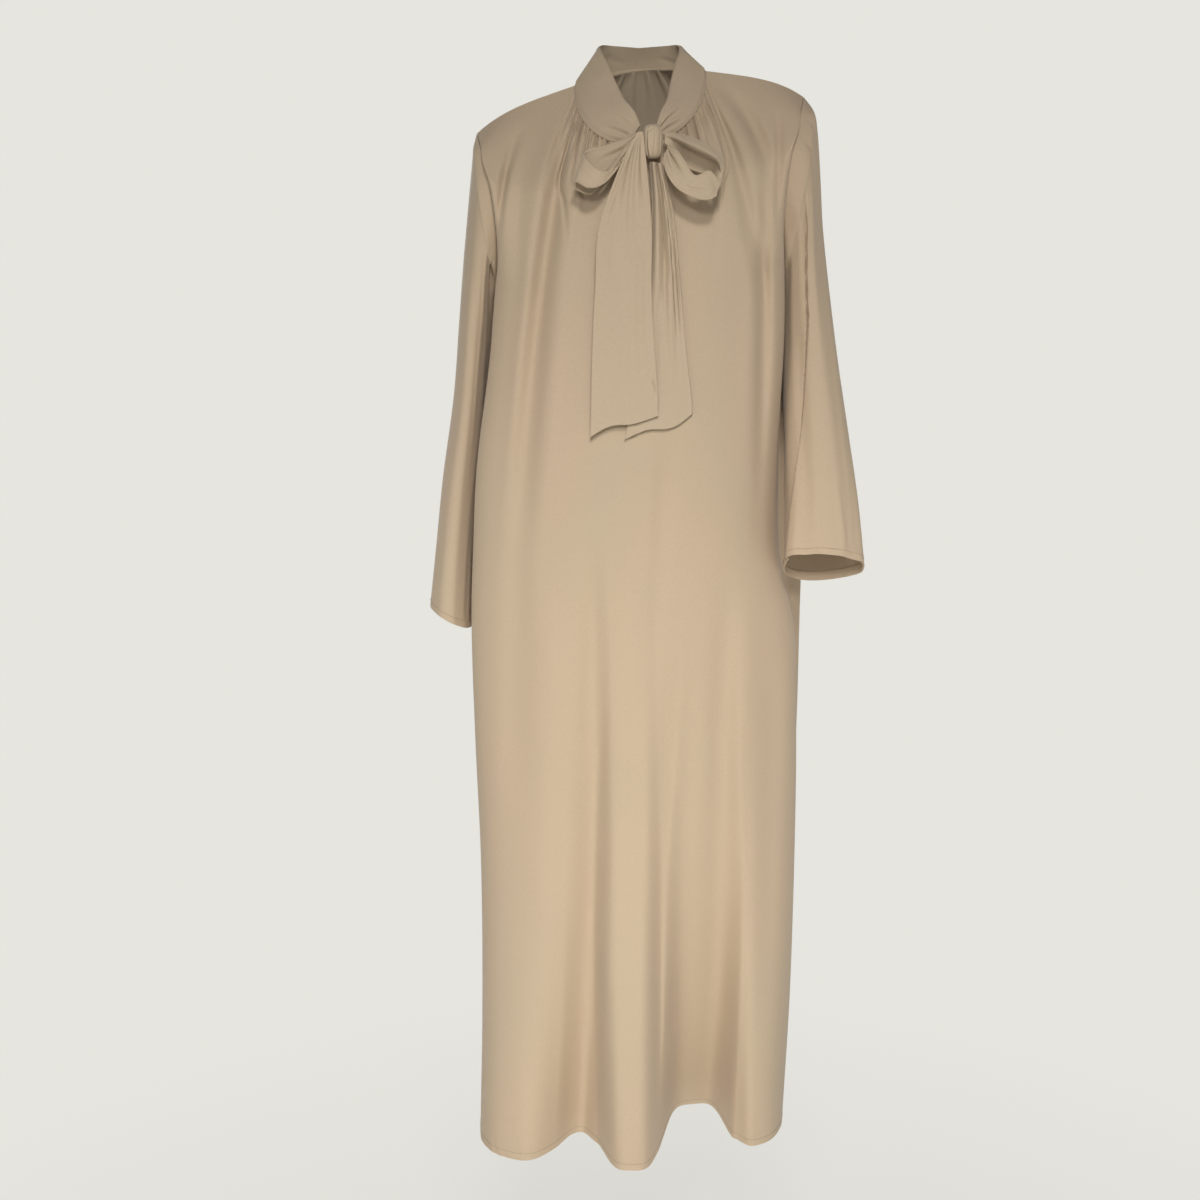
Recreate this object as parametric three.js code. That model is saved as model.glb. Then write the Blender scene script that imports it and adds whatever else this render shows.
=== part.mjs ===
// A floor-length, long-sleeved abaya with a tied bow at the neck, as it hangs when worn.
// Millimetres. +X is the wearer's left, -Y the front and +Z up. The origin is the middle of the
// neck opening at the height of the shoulder seams' neck ends, where the neck holds the garment.
import * as THREE from 'three';

const WALL = 2; // cloth of the panels and sleeves
const TIE_WALL = 2; // the doubled cloth of the band and the bow
const SEAM_GAP = 0.2; // each panel stands back this far from its seam line
const ARMHOLE_GAP = 1.2;
const BAND_GAP = 0.6;

// The neck seam: an oval that dips at the front.
const NECK_HALF_WIDTH = 82;
const NECK_FRONT = 100;
const NECK_BACK = 66;
const NECK_SIDE_HEIGHT = -4;
const NECK_FRONT_DROP = 82;
const NECK_BACK_RISE = 14;
const NECK_BACK_PINCH = 0.42;
const NECK_SHARE = 0.44; // share of a panel's half width that the neck seam takes up

// The shoulder seam, from the neck to the sleeve head, and the tilt of the wearer's shoulders.
const SHOULDER_HALF_WIDTH = 204;
const SHOULDER_SLOPE = 27;
const SHOULDER_ROUNDING = 17;
const SHOULDER_BACKWARD = 5;
const SHOULDER_TILT = 22; // the left tip stands this much above the level line, the right below
const TILT_ENDS_AT = 520; // drop below the neck where the panels hang level again

// Fullness of the sections at the shoulders and below the arms. Below 1 a section is squarer than
// an ellipse.
const FRONT_FULLNESS = [1.9, 0.72];
const BACK_FULLNESS = [1.5, 0.8];
const FULLNESS_TURNS = 0.5; // share of the half width beyond which the shoulders grow fuller
const UNDERARM_DROP = 210;
const HEM_DROP = 1360;

// Rows of numbers under column names, as a list of objects.
function table(names, rows) {
  const columns = names.split(' ');
  return rows.map((row) => Object.fromEntries(columns.map((name, i) => [name, row[i]])));
}

// Sections of the two body panels, from just under the shoulder to the hem. drop orders the rows;
// right and left are the side edges, frontEdge and backEdge their depths, and front and back the
// middles of the panels, at the heights beside them. The swells are how far each panel stands out
// beyond its side edge there, because the arms press the side seams in.
const SECTIONS = table(
  'drop sideZ right left frontEdge backEdge front frontZ back backZ',
  [
    [35, -70, -197, 197, -30, 36, -106, -120, 80, -30],
    [75, -108, -187, 186, -54, 56, -114, -152, 94, -78],
    [120, -155, -180, 179, -56, 58, -120, -192, 103, -134],
    [175, -212, -177, 177, -34, 36, -124, -236, 108, -200],
    [210, -248, -179, 178, 0, 0, -126, -270, 110, -252],
    [300, -340, -184, 178, 0, 0, -129, -350, 111, -345],
    [440, -480, -200, 180, 0, 0, -132, -482, 113, -480],
    [560, -600, -209, 184, 0, 0, -135, -600, 118, -600],
    [650, -690, -214, 200, 0, 0, -137, -690, 122, -690],
    [800, -840, -214, 208, 0, 0, -139, -840, 128, -840],
    [980, -1020, -209, 210, 0, 0, -140, -1020, 134, -1020],
    [1180, -1215, -210, 209, 0, 0, -132, -1215, 138, -1215],
    [HEM_DROP, -1396, -215, 203, 0, 0, -112, -1392, 138, -1396],
  ],
);
const SWELLS = table(
  'drop frontRight frontLeft backRight backLeft',
  [
    [0, 0, 0, 0, 0],
    [140, 0, 0, 0, 0],
    [210, 7, 7, 3, 3],
    [300, 10, 8, 4, 7],
    [440, 12, 0, 8, 34],
    [560, 10, 0, 8, 40],
    [650, 8, 6, 6, 24],
    [800, 5, 5, 5, 15],
    [1000, 4, 4, 4, 8],
    [HEM_DROP, 2, 2, 2, 2],
  ],
);
const SWELL_STARTS = 0.4; // share of the half width from which a panel swells
const SWELL_ENDS = 0.84;

const FOLDS_FADE_IN = 30; // drop below the top edge over which the folds come up
const FOLDS_FADE_OUT = 0.84; // share of the half width from which they die away to the seam
const FOLD_START_WIDTH = 0.6; // share of its width that a fold has at its top
const FOLD_OVERRUN = 1.02; // share of its length to which a fold goes on past its end

// The largest folds. Each runs down a smooth line through x0, x1 half way and x2, from z0 to z2.
// Widths are to the wearer's right and left of the line; depth grows from deep0 to deep2, inwards,
// and a negative depth stands out as a ridge. fadeIn and fadeOut are lengths along the fold, swell
// is the power by which it deepens, and flat is 1 for a plain wave and more for a broad one.
const FRONT_FOLDS = table(
  'x0 x1 x2 z0 z2 toRight toLeft deep0 deep2 fadeIn fadeOut swell flat',
  [
    [-84, -132, -166, -40, -700, 26, 34, 9, 5, 30, 260, 1, 1],
    [84, 128, 158, -24, -300, 20, 16, 5, 9, 20, 120, 1, 1],
    [146, 154, 150, -180, -520, 24, 18, 5, 3, 60, 160, 1, 1],
    [-60, -60, -76, -500, -1400, 36, 28, 6, 32, 200, 0, 1.6, 1],
    [-8, -14, -8, -560, -1400, 46, 44, -3, -68, 200, 0, 2.4, 2],
    [92, 88, 82, -620, -1400, 54, 50, 5, 112, 200, 0, 3, 2.2],
    [158, 160, 164, -700, -1400, 34, 50, -1, -32, 200, 0, 2.4, 1.6],
    [-160, -168, -174, -760, -1400, 76, 84, -1, -66, 200, 0, 2.4, 1.6],
  ],
);
const BACK_FOLDS = table(
  'x0 x1 x2 z0 z2 toRight toLeft deep0 deep2 fadeIn fadeOut swell flat',
  [
    [-70, -84, -98, -260, -1400, 46, 40, 3, 46, 300, 0, 1.5, 1],
    [40, 34, 24, -220, -1400, 44, 50, 3, 56, 300, 0, 1.6, 1],
    [130, 136, 134, -420, -1400, 40, 38, 2, 38, 300, 0, 1.4, 1],
    [-36, -40, -38, -500, -1400, 40, 40, -1, -22, 300, 0, 1.5, 1.8],
    [84, 84, 82, -560, -1400, 38, 36, -1, -18, 300, 0, 1.5, 1.8],
    [-160, -162, -160, -600, -1400, 40, 40, -1, -22, 300, 0, 1.5, 1.8],
  ],
);

// Rings of each sleeve below the armhole: the outermost and innermost points, the depth of the
// ring's middle, half its depth front to back, how far its front is tipped up, in degrees, and the
// power that flattens its front: 1 for an ellipse and less for a flatter one. Skew draws the back
// in towards the outer side and lets it out towards the inner one.
const RIGHT_SLEEVE = table(
  'drop outX outZ inX inZ midY half tip flat skew',
  [
    [16, -208, -84, -180, -262, 2, 58, 0, 1, 0],
    [40, -210, -100, -183, -268, 6, 59, 0, 1, 0],
    [90, -217, -160, -186, -292, 16, 63, 0, 1, 0],
    [140, -224, -222, -188, -322, 24, 66, 0, 1, 0],
    [200, -231, -300, -194, -370, 25, 67, 0, 1, 0],
    [280, -240, -398, -201, -436, 28, 67, 0, 1, 0],
    [370, -256, -506, -210, -522, 28, 66, 0, 0.9, 0],
    [450, -266, -596, -217, -612, 24, 65, 2, 0.85, 0],
    [540, -275, -676, -221, -706, 20, 64, 4, 0.8, 0],
  ],
);
const LEFT_SLEEVE = table(
  'drop outX outZ inX inZ midY half tip flat skew',
  [
    [16, 216, -42, 180, -240, 2, 58, 0, 1, 0],
    [40, 222, -66, 182, -246, 6, 59, 0, 1, 0],
    [90, 228, -124, 183, -270, 14, 63, 0, 1, 0],
    [140, 233, -184, 183, -298, 18, 64, 0, 1, 0],
    [200, 242, -258, 184, -336, 14, 62, 0, 0.95, 0],
    [280, 253, -350, 185, -394, -8, 57, 4, 0.88, 0.1],
    [370, 266, -446, 186, -470, -36, 51, 12, 0.74, 0.2],
    [450, 277, -531, 185, -538, -60, 47, 21, 0.6, 0.3],
    [530, 284, -612, 181, -604, -82, 46, 32, 0.5, 0.4],
  ],
);
const SLEEVE_PLEATS = table(
  'around width right left',
  [
    [0.13, 0.07, 2, 3],
    [0.34, 0.06, 2, 3],
  ],
);

// The top edge of the neck band, by the angle from the front along the neck seam.
const BAND_TOP = table(
  'drop x y z',
  [
    [12, 9, -103, -66],
    [27, 16, -92, -48],
    [45, 25, -74, -34],
    [60, 31, -52, -18],
    [75, 39, -24, 6],
    [90, 48, 6, 29],
    [112, 47, 32, 38],
    [140, 33, 50, 39],
    [180, 0, 58, 37],
  ],
);
const BAND_FRONT_SHIFT = 8; // the knot is tied a little towards the wearer's left
const BAND_SHIFT_ENDS = [10, 100]; // angles between which that shift dies away
const BAND_ROLL = 2; // how far the folded band bows out between seam and edge
const BAND_ROLL_STARTS = [20, 60]; // angles between which it comes up

const KNOT_CENTRE = [12.5, -121, -84.5];
const KNOT_HALF = [12, 13.5, 20];

// Each loop of the bow is a ribbon that leaves the knot, turns and comes back. Every row gives
// the upper and the lower edge of the ribbon there.
const RIGHT_LOOP = table(
  'drop upX upY upZ lowX lowY lowZ',
  [
    [0, -6, -114, -73, -5, -116, -90],
    [1, -24, -114, -82, -22, -117, -108],
    [2, -44, -114, -89, -42, -118, -126],
    [3, -60, -116, -92, -60, -121, -146],
    [4, -69, -124, -97, -79, -130, -140],
    [5, -66, -136, -104, -79, -142, -132],
    [6, -55, -146, -116, -64, -150, -139],
    [7, -44, -143, -119, -49, -146, -136],
    [8, -33, -132, -108, -33, -133, -121],
    [9, -20, -126, -89, -16, -126, -100],
    [10, -8, -121, -77, -4, -121, -90],
  ],
);
const LEFT_LOOP = table(
  'drop upX upY upZ lowX lowY lowZ',
  [
    [0, 27, -116, -74, 27, -120, -88],
    [1, 44, -120, -76, 41, -120, -100],
    [2, 60, -128, -81, 57, -125, -116],
    [3, 78, -133, -90, 74, -129, -122],
    [4, 92, -138, -102, 84, -134, -124],
    [5, 96, -138, -118, 87, -142, -130],
    [6, 92, -146, -133, 86, -150, -148],
    [7, 79, -153, -119, 74, -154, -153],
    [8, 62, -153, -124, 57, -154, -149],
    [9, 51, -149, -109, 39, -150, -138],
    [10, 42, -142, -96, 28, -142, -120],
    [11, 32, -129, -89, 27, -129, -100],
  ],
);

// The free ends of the tie: both edges at each height, and how far off the front panel they hang.
const RIGHT_TAIL = table(
  'drop rightX leftX off rightZ leftZ',
  [
    [0, -5, 1, 30, -74, -74],
    [16, -15, 3, 33, -90, -90],
    [50, -32, 7, 27, -127, -127],
    [110, -52, 12, 17, -186, -186],
    [180, -56, 12, 12, -252, -252],
    [240, -59, 15, 10, -312, -312],
    [310, -61, 20, 10, -386, -376],
    [360, -62, 21, 10, -437, -409],
  ],
);
const LEFT_TAIL = table(
  'drop rightX leftX off rightZ leftZ',
  [
    [0, 10, 24, 20, -108, -110],
    [40, 12, 34, 14, -150, -150],
    [90, 11, 42, 9, -204, -202],
    [150, 8, 48, 6, -266, -264],
    [220, -1, 55, 5, -336, -334],
    [290, -14, 62, 5, -408, -388],
    [320, -20, 63, 5, -438, -401],
  ],
);
const TAIL_PLEAT_DEPTH = 4;
// The bottom edge of each tail waves: how far it is lifted, at what share across and how widely.
const TAIL_WAVES_START = 60; // height above the bottom edge
const RIGHT_TAIL_WAVE = { lift: 7, share: 0.28, width: 0.42 };
const LEFT_TAIL_WAVE = { lift: -12, share: 0.74, width: 0.5 };
const TAIL_PLEATS_END = 200;

const BODY_COLOUR = 0xb7a488;
const TIE_COLOUR = 0xb5a184;

const vector = (x, y, z) => new THREE.Vector3(x, y, z);
const radians = THREE.MathUtils.degToRad;
const mix = THREE.MathUtils.lerp;
const smooth = THREE.MathUtils.smoothstep;

// A smooth curve through place(row) for every row of a table, at the row's drop.
function curveThrough(rows, drop, place) {
  const last = rows.length - 1;
  let k = 0;
  while (k < last - 1 && drop > rows[k + 1].drop) k += 1;
  const row = (i) => rows[Math.min(Math.max(i, 0), last)];
  const slope = (i) => {
    const run = row(i + 1).drop - row(i - 1).drop;
    return place(row(i + 1)).sub(place(row(i - 1))).divideScalar(run);
  };
  const span = rows[k + 1].drop - rows[k].drop;
  const t = (drop - rows[k].drop) / span;
  const point = place(rows[k]).multiplyScalar((1 + 2 * t) * (1 - t) ** 2);
  point.addScaledVector(slope(k), span * t * (1 - t) ** 2);
  point.addScaledVector(place(rows[k + 1]), t * t * (3 - 2 * t));
  point.addScaledVector(slope(k + 1), span * t * t * (t - 1));
  return point;
}

// The neck seam at an angle from the front, 90 degrees at the wearer's left side.
function neckSeam(angle) {
  const c = Math.cos(radians(angle));
  // behind the shoulders the seam closes in on the neck faster than an oval does
  const x = NECK_HALF_WIDTH * Math.sin(radians(angle)) * (1 - NECK_BACK_PINCH * Math.max(-c, 0));
  const y = c > 0 ? -NECK_FRONT * c : -NECK_BACK * c;
  const z = c > 0 ? -NECK_FRONT_DROP * c ** 0.9 : -NECK_BACK_RISE * c;
  return vector(x, y, NECK_SIDE_HEIGHT + z + (SHOULDER_TILT * x) / SHOULDER_HALF_WIDTH);
}

// The top edge of a panel: neck seam in the middle, a shoulder seam at each end. across runs
// from -1 at the wearer's right to 1.
function topEdge(side, across) {
  const share = Math.abs(across);
  const hand = Math.sign(across);
  if (share <= NECK_SHARE) {
    const angle = (90 * across) / NECK_SHARE;
    return neckSeam(side === 'front' ? angle : 180 - angle);
  }
  const t = (share - NECK_SHARE) / (1 - NECK_SHARE);
  const x = hand * mix(NECK_HALF_WIDTH, SHOULDER_HALF_WIDTH, t);
  const z = NECK_SIDE_HEIGHT - SHOULDER_SLOPE * t - SHOULDER_ROUNDING * t ** 4;
  return vector(x, SHOULDER_BACKWARD * t, z + (SHOULDER_TILT * x) / SHOULDER_HALF_WIDTH);
}

// A panel's smooth form before its folds.
function panelForm(side, across, drop) {
  const front = side === 'front';
  const angle = radians(90 * across);
  const fullness = front ? FRONT_FULLNESS : BACK_FULLNESS;
  const place = (row) => {
    if (row.drop === 0) return topEdge(side, across);
    const settled = smooth(row.drop, 0, UNDERARM_DROP);
    const outer = smooth(Math.abs(across), FULLNESS_TURNS, 1);
    const bow = Math.cos(angle) ** mix(...fullness, 1 - (1 - settled) * (1 - outer));
    const middle = (row.left + row.right) / 2;
    const half = (row.left - row.right) / 2;
    const x = middle + half * Math.sin(angle);
    const y = front ? mix(row.frontEdge, row.front, bow) : mix(row.backEdge, row.back, bow);
    const z = mix(row.sideZ, front ? row.frontZ : row.backZ, Math.cos(angle));
    const tilt = SHOULDER_TILT * (1 - smooth(row.drop, 0, TILT_ENDS_AT));
    return vector(x, y, z + (tilt * x) / SHOULDER_HALF_WIDTH);
  };
  const point = curveThrough([{ drop: 0 }, ...SECTIONS], drop, place);
  const swells = curveThrough(SWELLS, drop, (row) => (front
    ? vector(row.frontRight, row.frontLeft, 0) : vector(row.backRight, row.backLeft, 0)));
  const share = Math.abs(across);
  const swell = smooth(share, SWELL_STARTS, SWELL_ENDS) * (1 - smooth(share, SWELL_ENDS, 1));
  point.x += swell * (across < 0 ? -swells.x : swells.y);
  // below the underarm the side seam lies in the plane y = 0
  if (drop >= UNDERARM_DROP) point.y = front ? Math.min(point.y, 0) : Math.max(point.y, 0);
  return point;
}

// How far a fold sinks the cloth at x, z.
function foldDepth(fold, x, z) {
  const length = fold.z0 - fold.z2;
  const t = (fold.z0 - z) / length;
  if (t <= 0 || t >= FOLD_OVERRUN) return 0;
  const line = fold.x0 * (1 - t) * (1 - 2 * t) + fold.x1 * 4 * t * (1 - t) + fold.x2 * t * (2 * t - 1);
  const widen = mix(FOLD_START_WIDTH, 1, Math.min(t * 2, 1));
  const offset = (x - line) / ((x < line ? fold.toRight : fold.toLeft) * widen);
  if (Math.abs(offset) >= 1) return 0;
  const growing = mix(fold.deep0, fold.deep2, Math.min(t, 1) ** fold.swell);
  const begin = fold.fadeIn ? smooth(t * length, 0, fold.fadeIn) : 1;
  const end = fold.fadeOut ? smooth((1 - t) * length, 0, fold.fadeOut) : 1;
  return growing * begin * end * (0.5 + 0.5 * Math.cos(Math.PI * Math.abs(offset) ** fold.flat));
}

function panelPoint(side, across, drop) {
  const point = panelForm(side, across, drop);
  const folds = side === 'front' ? FRONT_FOLDS : BACK_FOLDS;
  const inwards = side === 'front' ? 1 : -1;
  // folds die away towards the seams, so that the two panels still meet there
  const clear = smooth(drop, 0, FOLDS_FADE_IN) * (1 - smooth(Math.abs(across), FOLDS_FADE_OUT, 1));
  let depth = 0;
  for (const fold of folds) depth += foldDepth(fold, point.x, point.z);
  point.y += inwards * clear * depth;
  point.y -= inwards * SEAM_GAP;
  return point;
}

// The depth of the front panel's cloth at x, z, found by walking over the panel.
function frontDepth(x, z) {
  const steps = 12;
  const stride = 0.6; // share of the miss that each step makes good
  let across = x / SHOULDER_HALF_WIDTH;
  let drop = Math.max(-z - NECK_FRONT_DROP / 2, 0);
  let point = panelPoint('front', across, drop);
  for (let i = 0; i < steps; i += 1) {
    across += (stride * (x - point.x)) / SHOULDER_HALF_WIDTH;
    drop = Math.max(drop + point.z - z, 0);
    point = panelPoint('front', across, drop);
  }
  return point.y;
}

// A closed solid of one wall thickness on a grid of points, grid[row][column]. outward is 1 or -1
// for the side of the grid that is the cloth's right side, and ring joins the last column to the
// first. adjust may change the direction of the wall at a point, as on a seam.
function clothSolid(grid, wall, { outward = 1, ring = false, adjust = null, centred = false } = {}) {
  const rows = grid.length;
  const columns = grid[0].length;
  const clampRow = (r) => Math.min(Math.max(r, 0), rows - 1);
  const clampColumn = (c) => (ring ? (c + columns) % columns : Math.min(Math.max(c, 0), columns - 1));
  const positions = [];
  const outer = [];
  const inner = [];
  grid.forEach((line, r) => line.forEach((point, c) => {
    const along = grid[r][clampColumn(c + 1)].clone().sub(grid[r][clampColumn(c - 1)]);
    const down = grid[clampRow(r + 1)][c].clone().sub(grid[clampRow(r - 1)][c]);
    const normal = along.cross(down).normalize().multiplyScalar(outward);
    if (adjust) adjust(normal, r, c);
    normal.normalize();
    const a = point.clone().addScaledVector(normal, centred ? wall / 2 : 0);
    const b = point.clone().addScaledVector(normal, centred ? -wall / 2 : -wall);
    outer.push(a);
    inner.push(b);
  }));
  for (const point of [...outer, ...inner]) positions.push(point.x, point.y, point.z);
  const index = [];
  const at = (layer, r, c) => layer * rows * columns + r * columns + clampColumn(c);
  const quad = (a, b, c, d) => index.push(a, b, c, a, c, d);
  const lastColumn = ring ? columns : columns - 1;
  for (let r = 0; r < rows - 1; r += 1) {
    for (let c = 0; c < lastColumn; c += 1) {
      quad(at(0, r, c), at(0, r, c + 1), at(0, r + 1, c + 1), at(0, r + 1, c));
      quad(at(1, r, c), at(1, r + 1, c), at(1, r + 1, c + 1), at(1, r, c + 1));
    }
    if (!ring) {
      quad(at(0, r, 0), at(0, r + 1, 0), at(1, r + 1, 0), at(1, r, 0));
      const end = columns - 1;
      quad(at(0, r, end), at(1, r, end), at(1, r + 1, end), at(0, r + 1, end));
    }
  }
  for (let c = 0; c < lastColumn; c += 1) {
    quad(at(0, 0, c), at(1, 0, c), at(1, 0, c + 1), at(0, 0, c + 1));
    quad(at(0, rows - 1, c), at(0, rows - 1, c + 1), at(1, rows - 1, c + 1), at(1, rows - 1, c));
  }
  if (outward < 0) index.reverse();
  const geometry = new THREE.BufferGeometry();
  geometry.setAttribute('position', new THREE.Float32BufferAttribute(positions, 3));
  geometry.setIndex(index);
  geometry.computeVertexNormals();
  return geometry;
}

const evenSteps = (count, from, to) => Array.from({ length: count + 1 }, (_, i) => mix(from, to, i / count));

function bodyPanel(side, columns, drops) {
  const grid = drops.map((drop) => evenSteps(columns, -1, 1).map((u) => panelPoint(side, u, drop)));
  const onShoulder = (r, c) => r === 0 && Math.abs((2 * c) / columns - 1) >= NECK_SHARE - 0.01;
  const onSide = (r, c) => c === 0 || c === columns;
  const adjust = (normal, r, c) => {
    if (onShoulder(r, c) || (onSide(r, c) && drops[r] >= UNDERARM_DROP)) normal.y = 0;
  };
  return clothSolid(grid, WALL, { outward: side === 'front' ? -1 : 1, adjust });
}

// The edge of the armhole, once round: 0 at the shoulder, 90 in front, 180 at the underarm.
function armholeEdge(hand, around) {
  const front = around <= 180;
  const share = front ? around / 180 : (360 - around) / 180;
  const point = panelForm(front ? 'front' : 'back', hand, share * UNDERARM_DROP);
  point.x += hand * ARMHOLE_GAP;
  return point;
}

function sleevePoint(hand, rings, around, drop) {
  const a = radians(around);
  const place = (row) => {
    if (row.drop === 0) return armholeEdge(hand, around);
    const middle = vector((row.outX + row.inX) / 2, row.midY, (row.outZ + row.inZ) / 2);
    const reach = vector((row.outX - row.inX) / 2, 0, (row.outZ - row.inZ) / 2);
    const tip = radians(row.tip);
    const forward = vector(0, -row.half * Math.cos(tip), row.half * Math.sin(tip));
    let inset = 0;
    for (const pleat of SLEEVE_PLEATS) {
      const away = Math.abs(around / 360 - pleat.around) / pleat.width;
      const deep = hand < 0 ? pleat.right : pleat.left;
      if (away < 1) inset += deep * (0.5 + 0.5 * Math.cos(Math.PI * away));
    }
    const pull = 1 - inset / row.half;
    const rise = Math.sin(a) > 0
      ? Math.sin(a) ** row.flat : Math.sin(a) * (1 - row.skew * Math.cos(a));
    return middle.addScaledVector(reach, Math.cos(a) * pull).addScaledVector(forward, rise * pull);
  };
  return curveThrough([{ drop: 0 }, ...rings], drop, place);
}

function sleeve(hand, rings, columns, rows) {
  const length = rings[rings.length - 1].drop;
  const turns = evenSteps(columns, 0, 360).slice(0, columns);
  const grid = evenSteps(rows, 0, length).map(
    (drop) => turns.map((turn) => sleevePoint(hand, rings, turn, drop)),
  );
  const adjust = (normal, r) => {
    if (r === 0) normal.x = 0;
  };
  return clothSolid(grid, WALL, { outward: hand, ring: true, adjust });
}

// The neck band runs from one side of the knot round the back to the other, seam edge first.
function bandPoint(angle, height) {
  const hand = Math.sign(angle) || 1;
  const away = Math.abs(angle);
  const front = 1 - smooth(away, ...BAND_SHIFT_ENDS);
  const top = curveThrough(BAND_TOP, away, (row) => vector(hand * row.x, row.y, row.z));
  const foot = neckSeam(angle);
  top.x += BAND_FRONT_SHIFT * front;
  foot.z += BAND_GAP;
  const point = foot.lerp(top, height);
  const roll = BAND_ROLL * Math.sin(Math.PI * height) * smooth(away, ...BAND_ROLL_STARTS);
  point.x += roll * Math.sin(radians(angle));
  point.y -= roll * Math.cos(radians(angle));
  return point;
}

function neckBand(columns, rows) {
  const start = BAND_TOP[0].drop;
  const angles = evenSteps(columns, start, 360 - start);
  const grid = evenSteps(rows, 1, 0).map(
    (height) => angles.map((angle) => bandPoint(angle > 180 ? angle - 360 : angle, height)),
  );
  const adjust = (normal, r) => {
    if (r === rows) normal.z = Math.max(normal.z, 0);
  };
  return clothSolid(grid, TIE_WALL, { outward: 1, adjust });
}

function ribbonLoop(edges, steps) {
  const last = edges[edges.length - 1].drop;
  const grid = evenSteps(3, 0, 1).map((share) => evenSteps(steps, 0, last).map((drop) => {
    const upper = curveThrough(edges, drop, (row) => vector(row.upX, row.upY, row.upZ));
    const lower = curveThrough(edges, drop, (row) => vector(row.lowX, row.lowY, row.lowZ));
    return upper.lerp(lower, share);
  }));
  return clothSolid(grid, TIE_WALL, { centred: true });
}

function tail(edges, wave, columns, rows, pleats) {
  const last = edges[edges.length - 1].drop;
  const reach = pleats ? TAIL_PLEAT_DEPTH / 2 : 0;
  const grid = evenSteps(rows, 0, last).map((drop) => evenSteps(columns, 0, 1).map((share) => {
    const right = curveThrough(edges, drop, (row) => vector(row.rightX, row.off, row.rightZ));
    const left = curveThrough(edges, drop, (row) => vector(row.leftX, row.off, row.leftZ));
    const point = right.lerp(left, share);
    const hill = 0.5 + 0.5 * Math.cos(Math.PI * Math.min(Math.abs(share - wave.share) / wave.width, 1));
    point.z += wave.lift * hill * smooth(drop, last - TAIL_WAVES_START, last);
    point.y = frontDepth(point.x, point.z) - point.y;
    const fading = 1 - smooth(drop, TAIL_PLEATS_END / 2, TAIL_PLEATS_END);
    point.y += reach * Math.cos(2 * Math.PI * pleats * share) * fading;
    return point;
  }));
  return clothSolid(grid, TIE_WALL, { centred: true });
}

function clothMaterial(colour) {
  return new THREE.MeshStandardMaterial({ color: colour, roughness: 0.85, metalness: 0, side: THREE.FrontSide });
}

const abaya = new THREE.Group();

function add(name, geometry, colour) {
  const mesh = new THREE.Mesh(geometry, clothMaterial(colour));
  mesh.name = name;
  abaya.add(mesh);
  return mesh;
}

// The panels' rows of points, closer together on the shoulders.
const YOKE_DROPS = [0, 18, 40, 65, 95, 130, 170, UNDERARM_DROP];
const FRONT_DROPS = [...YOKE_DROPS, 260, 320, 400, 480, 560, ...evenSteps(8, 640, HEM_DROP)];
const BACK_DROPS = [...YOKE_DROPS, 270, 360, 470, 590, ...evenSteps(5, 720, HEM_DROP)];

add('front_body', bodyPanel('front', 38, FRONT_DROPS), BODY_COLOUR);
add('back_body', bodyPanel('back', 26, BACK_DROPS), BODY_COLOUR);
add('sleeve_right', sleeve(-1, RIGHT_SLEEVE, 18, 13), BODY_COLOUR);
add('sleeve_left', sleeve(1, LEFT_SLEEVE, 18, 13), BODY_COLOUR);
add('neck_band', neckBand(26, 3), TIE_COLOUR);
const knot = add('knot', new THREE.IcosahedronGeometry(1, 2), TIE_COLOUR);
knot.position.set(...KNOT_CENTRE);
knot.scale.set(...KNOT_HALF);
add('loop_right', ribbonLoop(RIGHT_LOOP, 20), TIE_COLOUR);
add('loop_left', ribbonLoop(LEFT_LOOP, 22), TIE_COLOUR);
add('tail_right', tail(RIGHT_TAIL, RIGHT_TAIL_WAVE, 8, 12, 0), TIE_COLOUR);
add('tail_left', tail(LEFT_TAIL, LEFT_TAIL_WAVE, 8, 12, 2), TIE_COLOUR);

export default abaya;
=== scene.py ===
"""A floor-length abaya with a gathered neck, a stand band and a tied bow, hanging as when worn.

The cut is worked out in millimetres and the meshes are made in metres. +X is the wearer's left,
-Y the front and +Z up. Drops are measured downwards from the neck, and around runs round a
sleeve from its outer side through the front.
"""
import math

import bpy
import numpy as np
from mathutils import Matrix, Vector


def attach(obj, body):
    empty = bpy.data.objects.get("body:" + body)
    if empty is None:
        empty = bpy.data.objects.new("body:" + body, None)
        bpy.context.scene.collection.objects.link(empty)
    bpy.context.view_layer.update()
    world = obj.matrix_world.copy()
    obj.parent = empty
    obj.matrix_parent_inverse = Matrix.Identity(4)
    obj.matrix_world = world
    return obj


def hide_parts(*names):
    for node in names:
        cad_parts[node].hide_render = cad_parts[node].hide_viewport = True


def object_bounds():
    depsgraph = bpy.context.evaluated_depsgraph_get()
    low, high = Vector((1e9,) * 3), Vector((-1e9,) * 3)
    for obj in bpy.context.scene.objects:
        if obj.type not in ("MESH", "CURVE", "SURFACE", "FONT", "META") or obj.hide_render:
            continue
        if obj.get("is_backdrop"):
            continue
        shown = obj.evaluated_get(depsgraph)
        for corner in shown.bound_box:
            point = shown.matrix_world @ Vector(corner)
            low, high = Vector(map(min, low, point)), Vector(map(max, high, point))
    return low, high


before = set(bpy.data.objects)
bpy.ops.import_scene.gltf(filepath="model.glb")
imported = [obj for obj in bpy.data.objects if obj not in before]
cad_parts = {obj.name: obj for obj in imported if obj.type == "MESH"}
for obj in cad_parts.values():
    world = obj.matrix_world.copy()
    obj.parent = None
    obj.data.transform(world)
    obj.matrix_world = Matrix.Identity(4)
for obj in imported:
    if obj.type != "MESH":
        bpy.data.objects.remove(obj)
cad_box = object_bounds()

MM = 0.001

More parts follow.
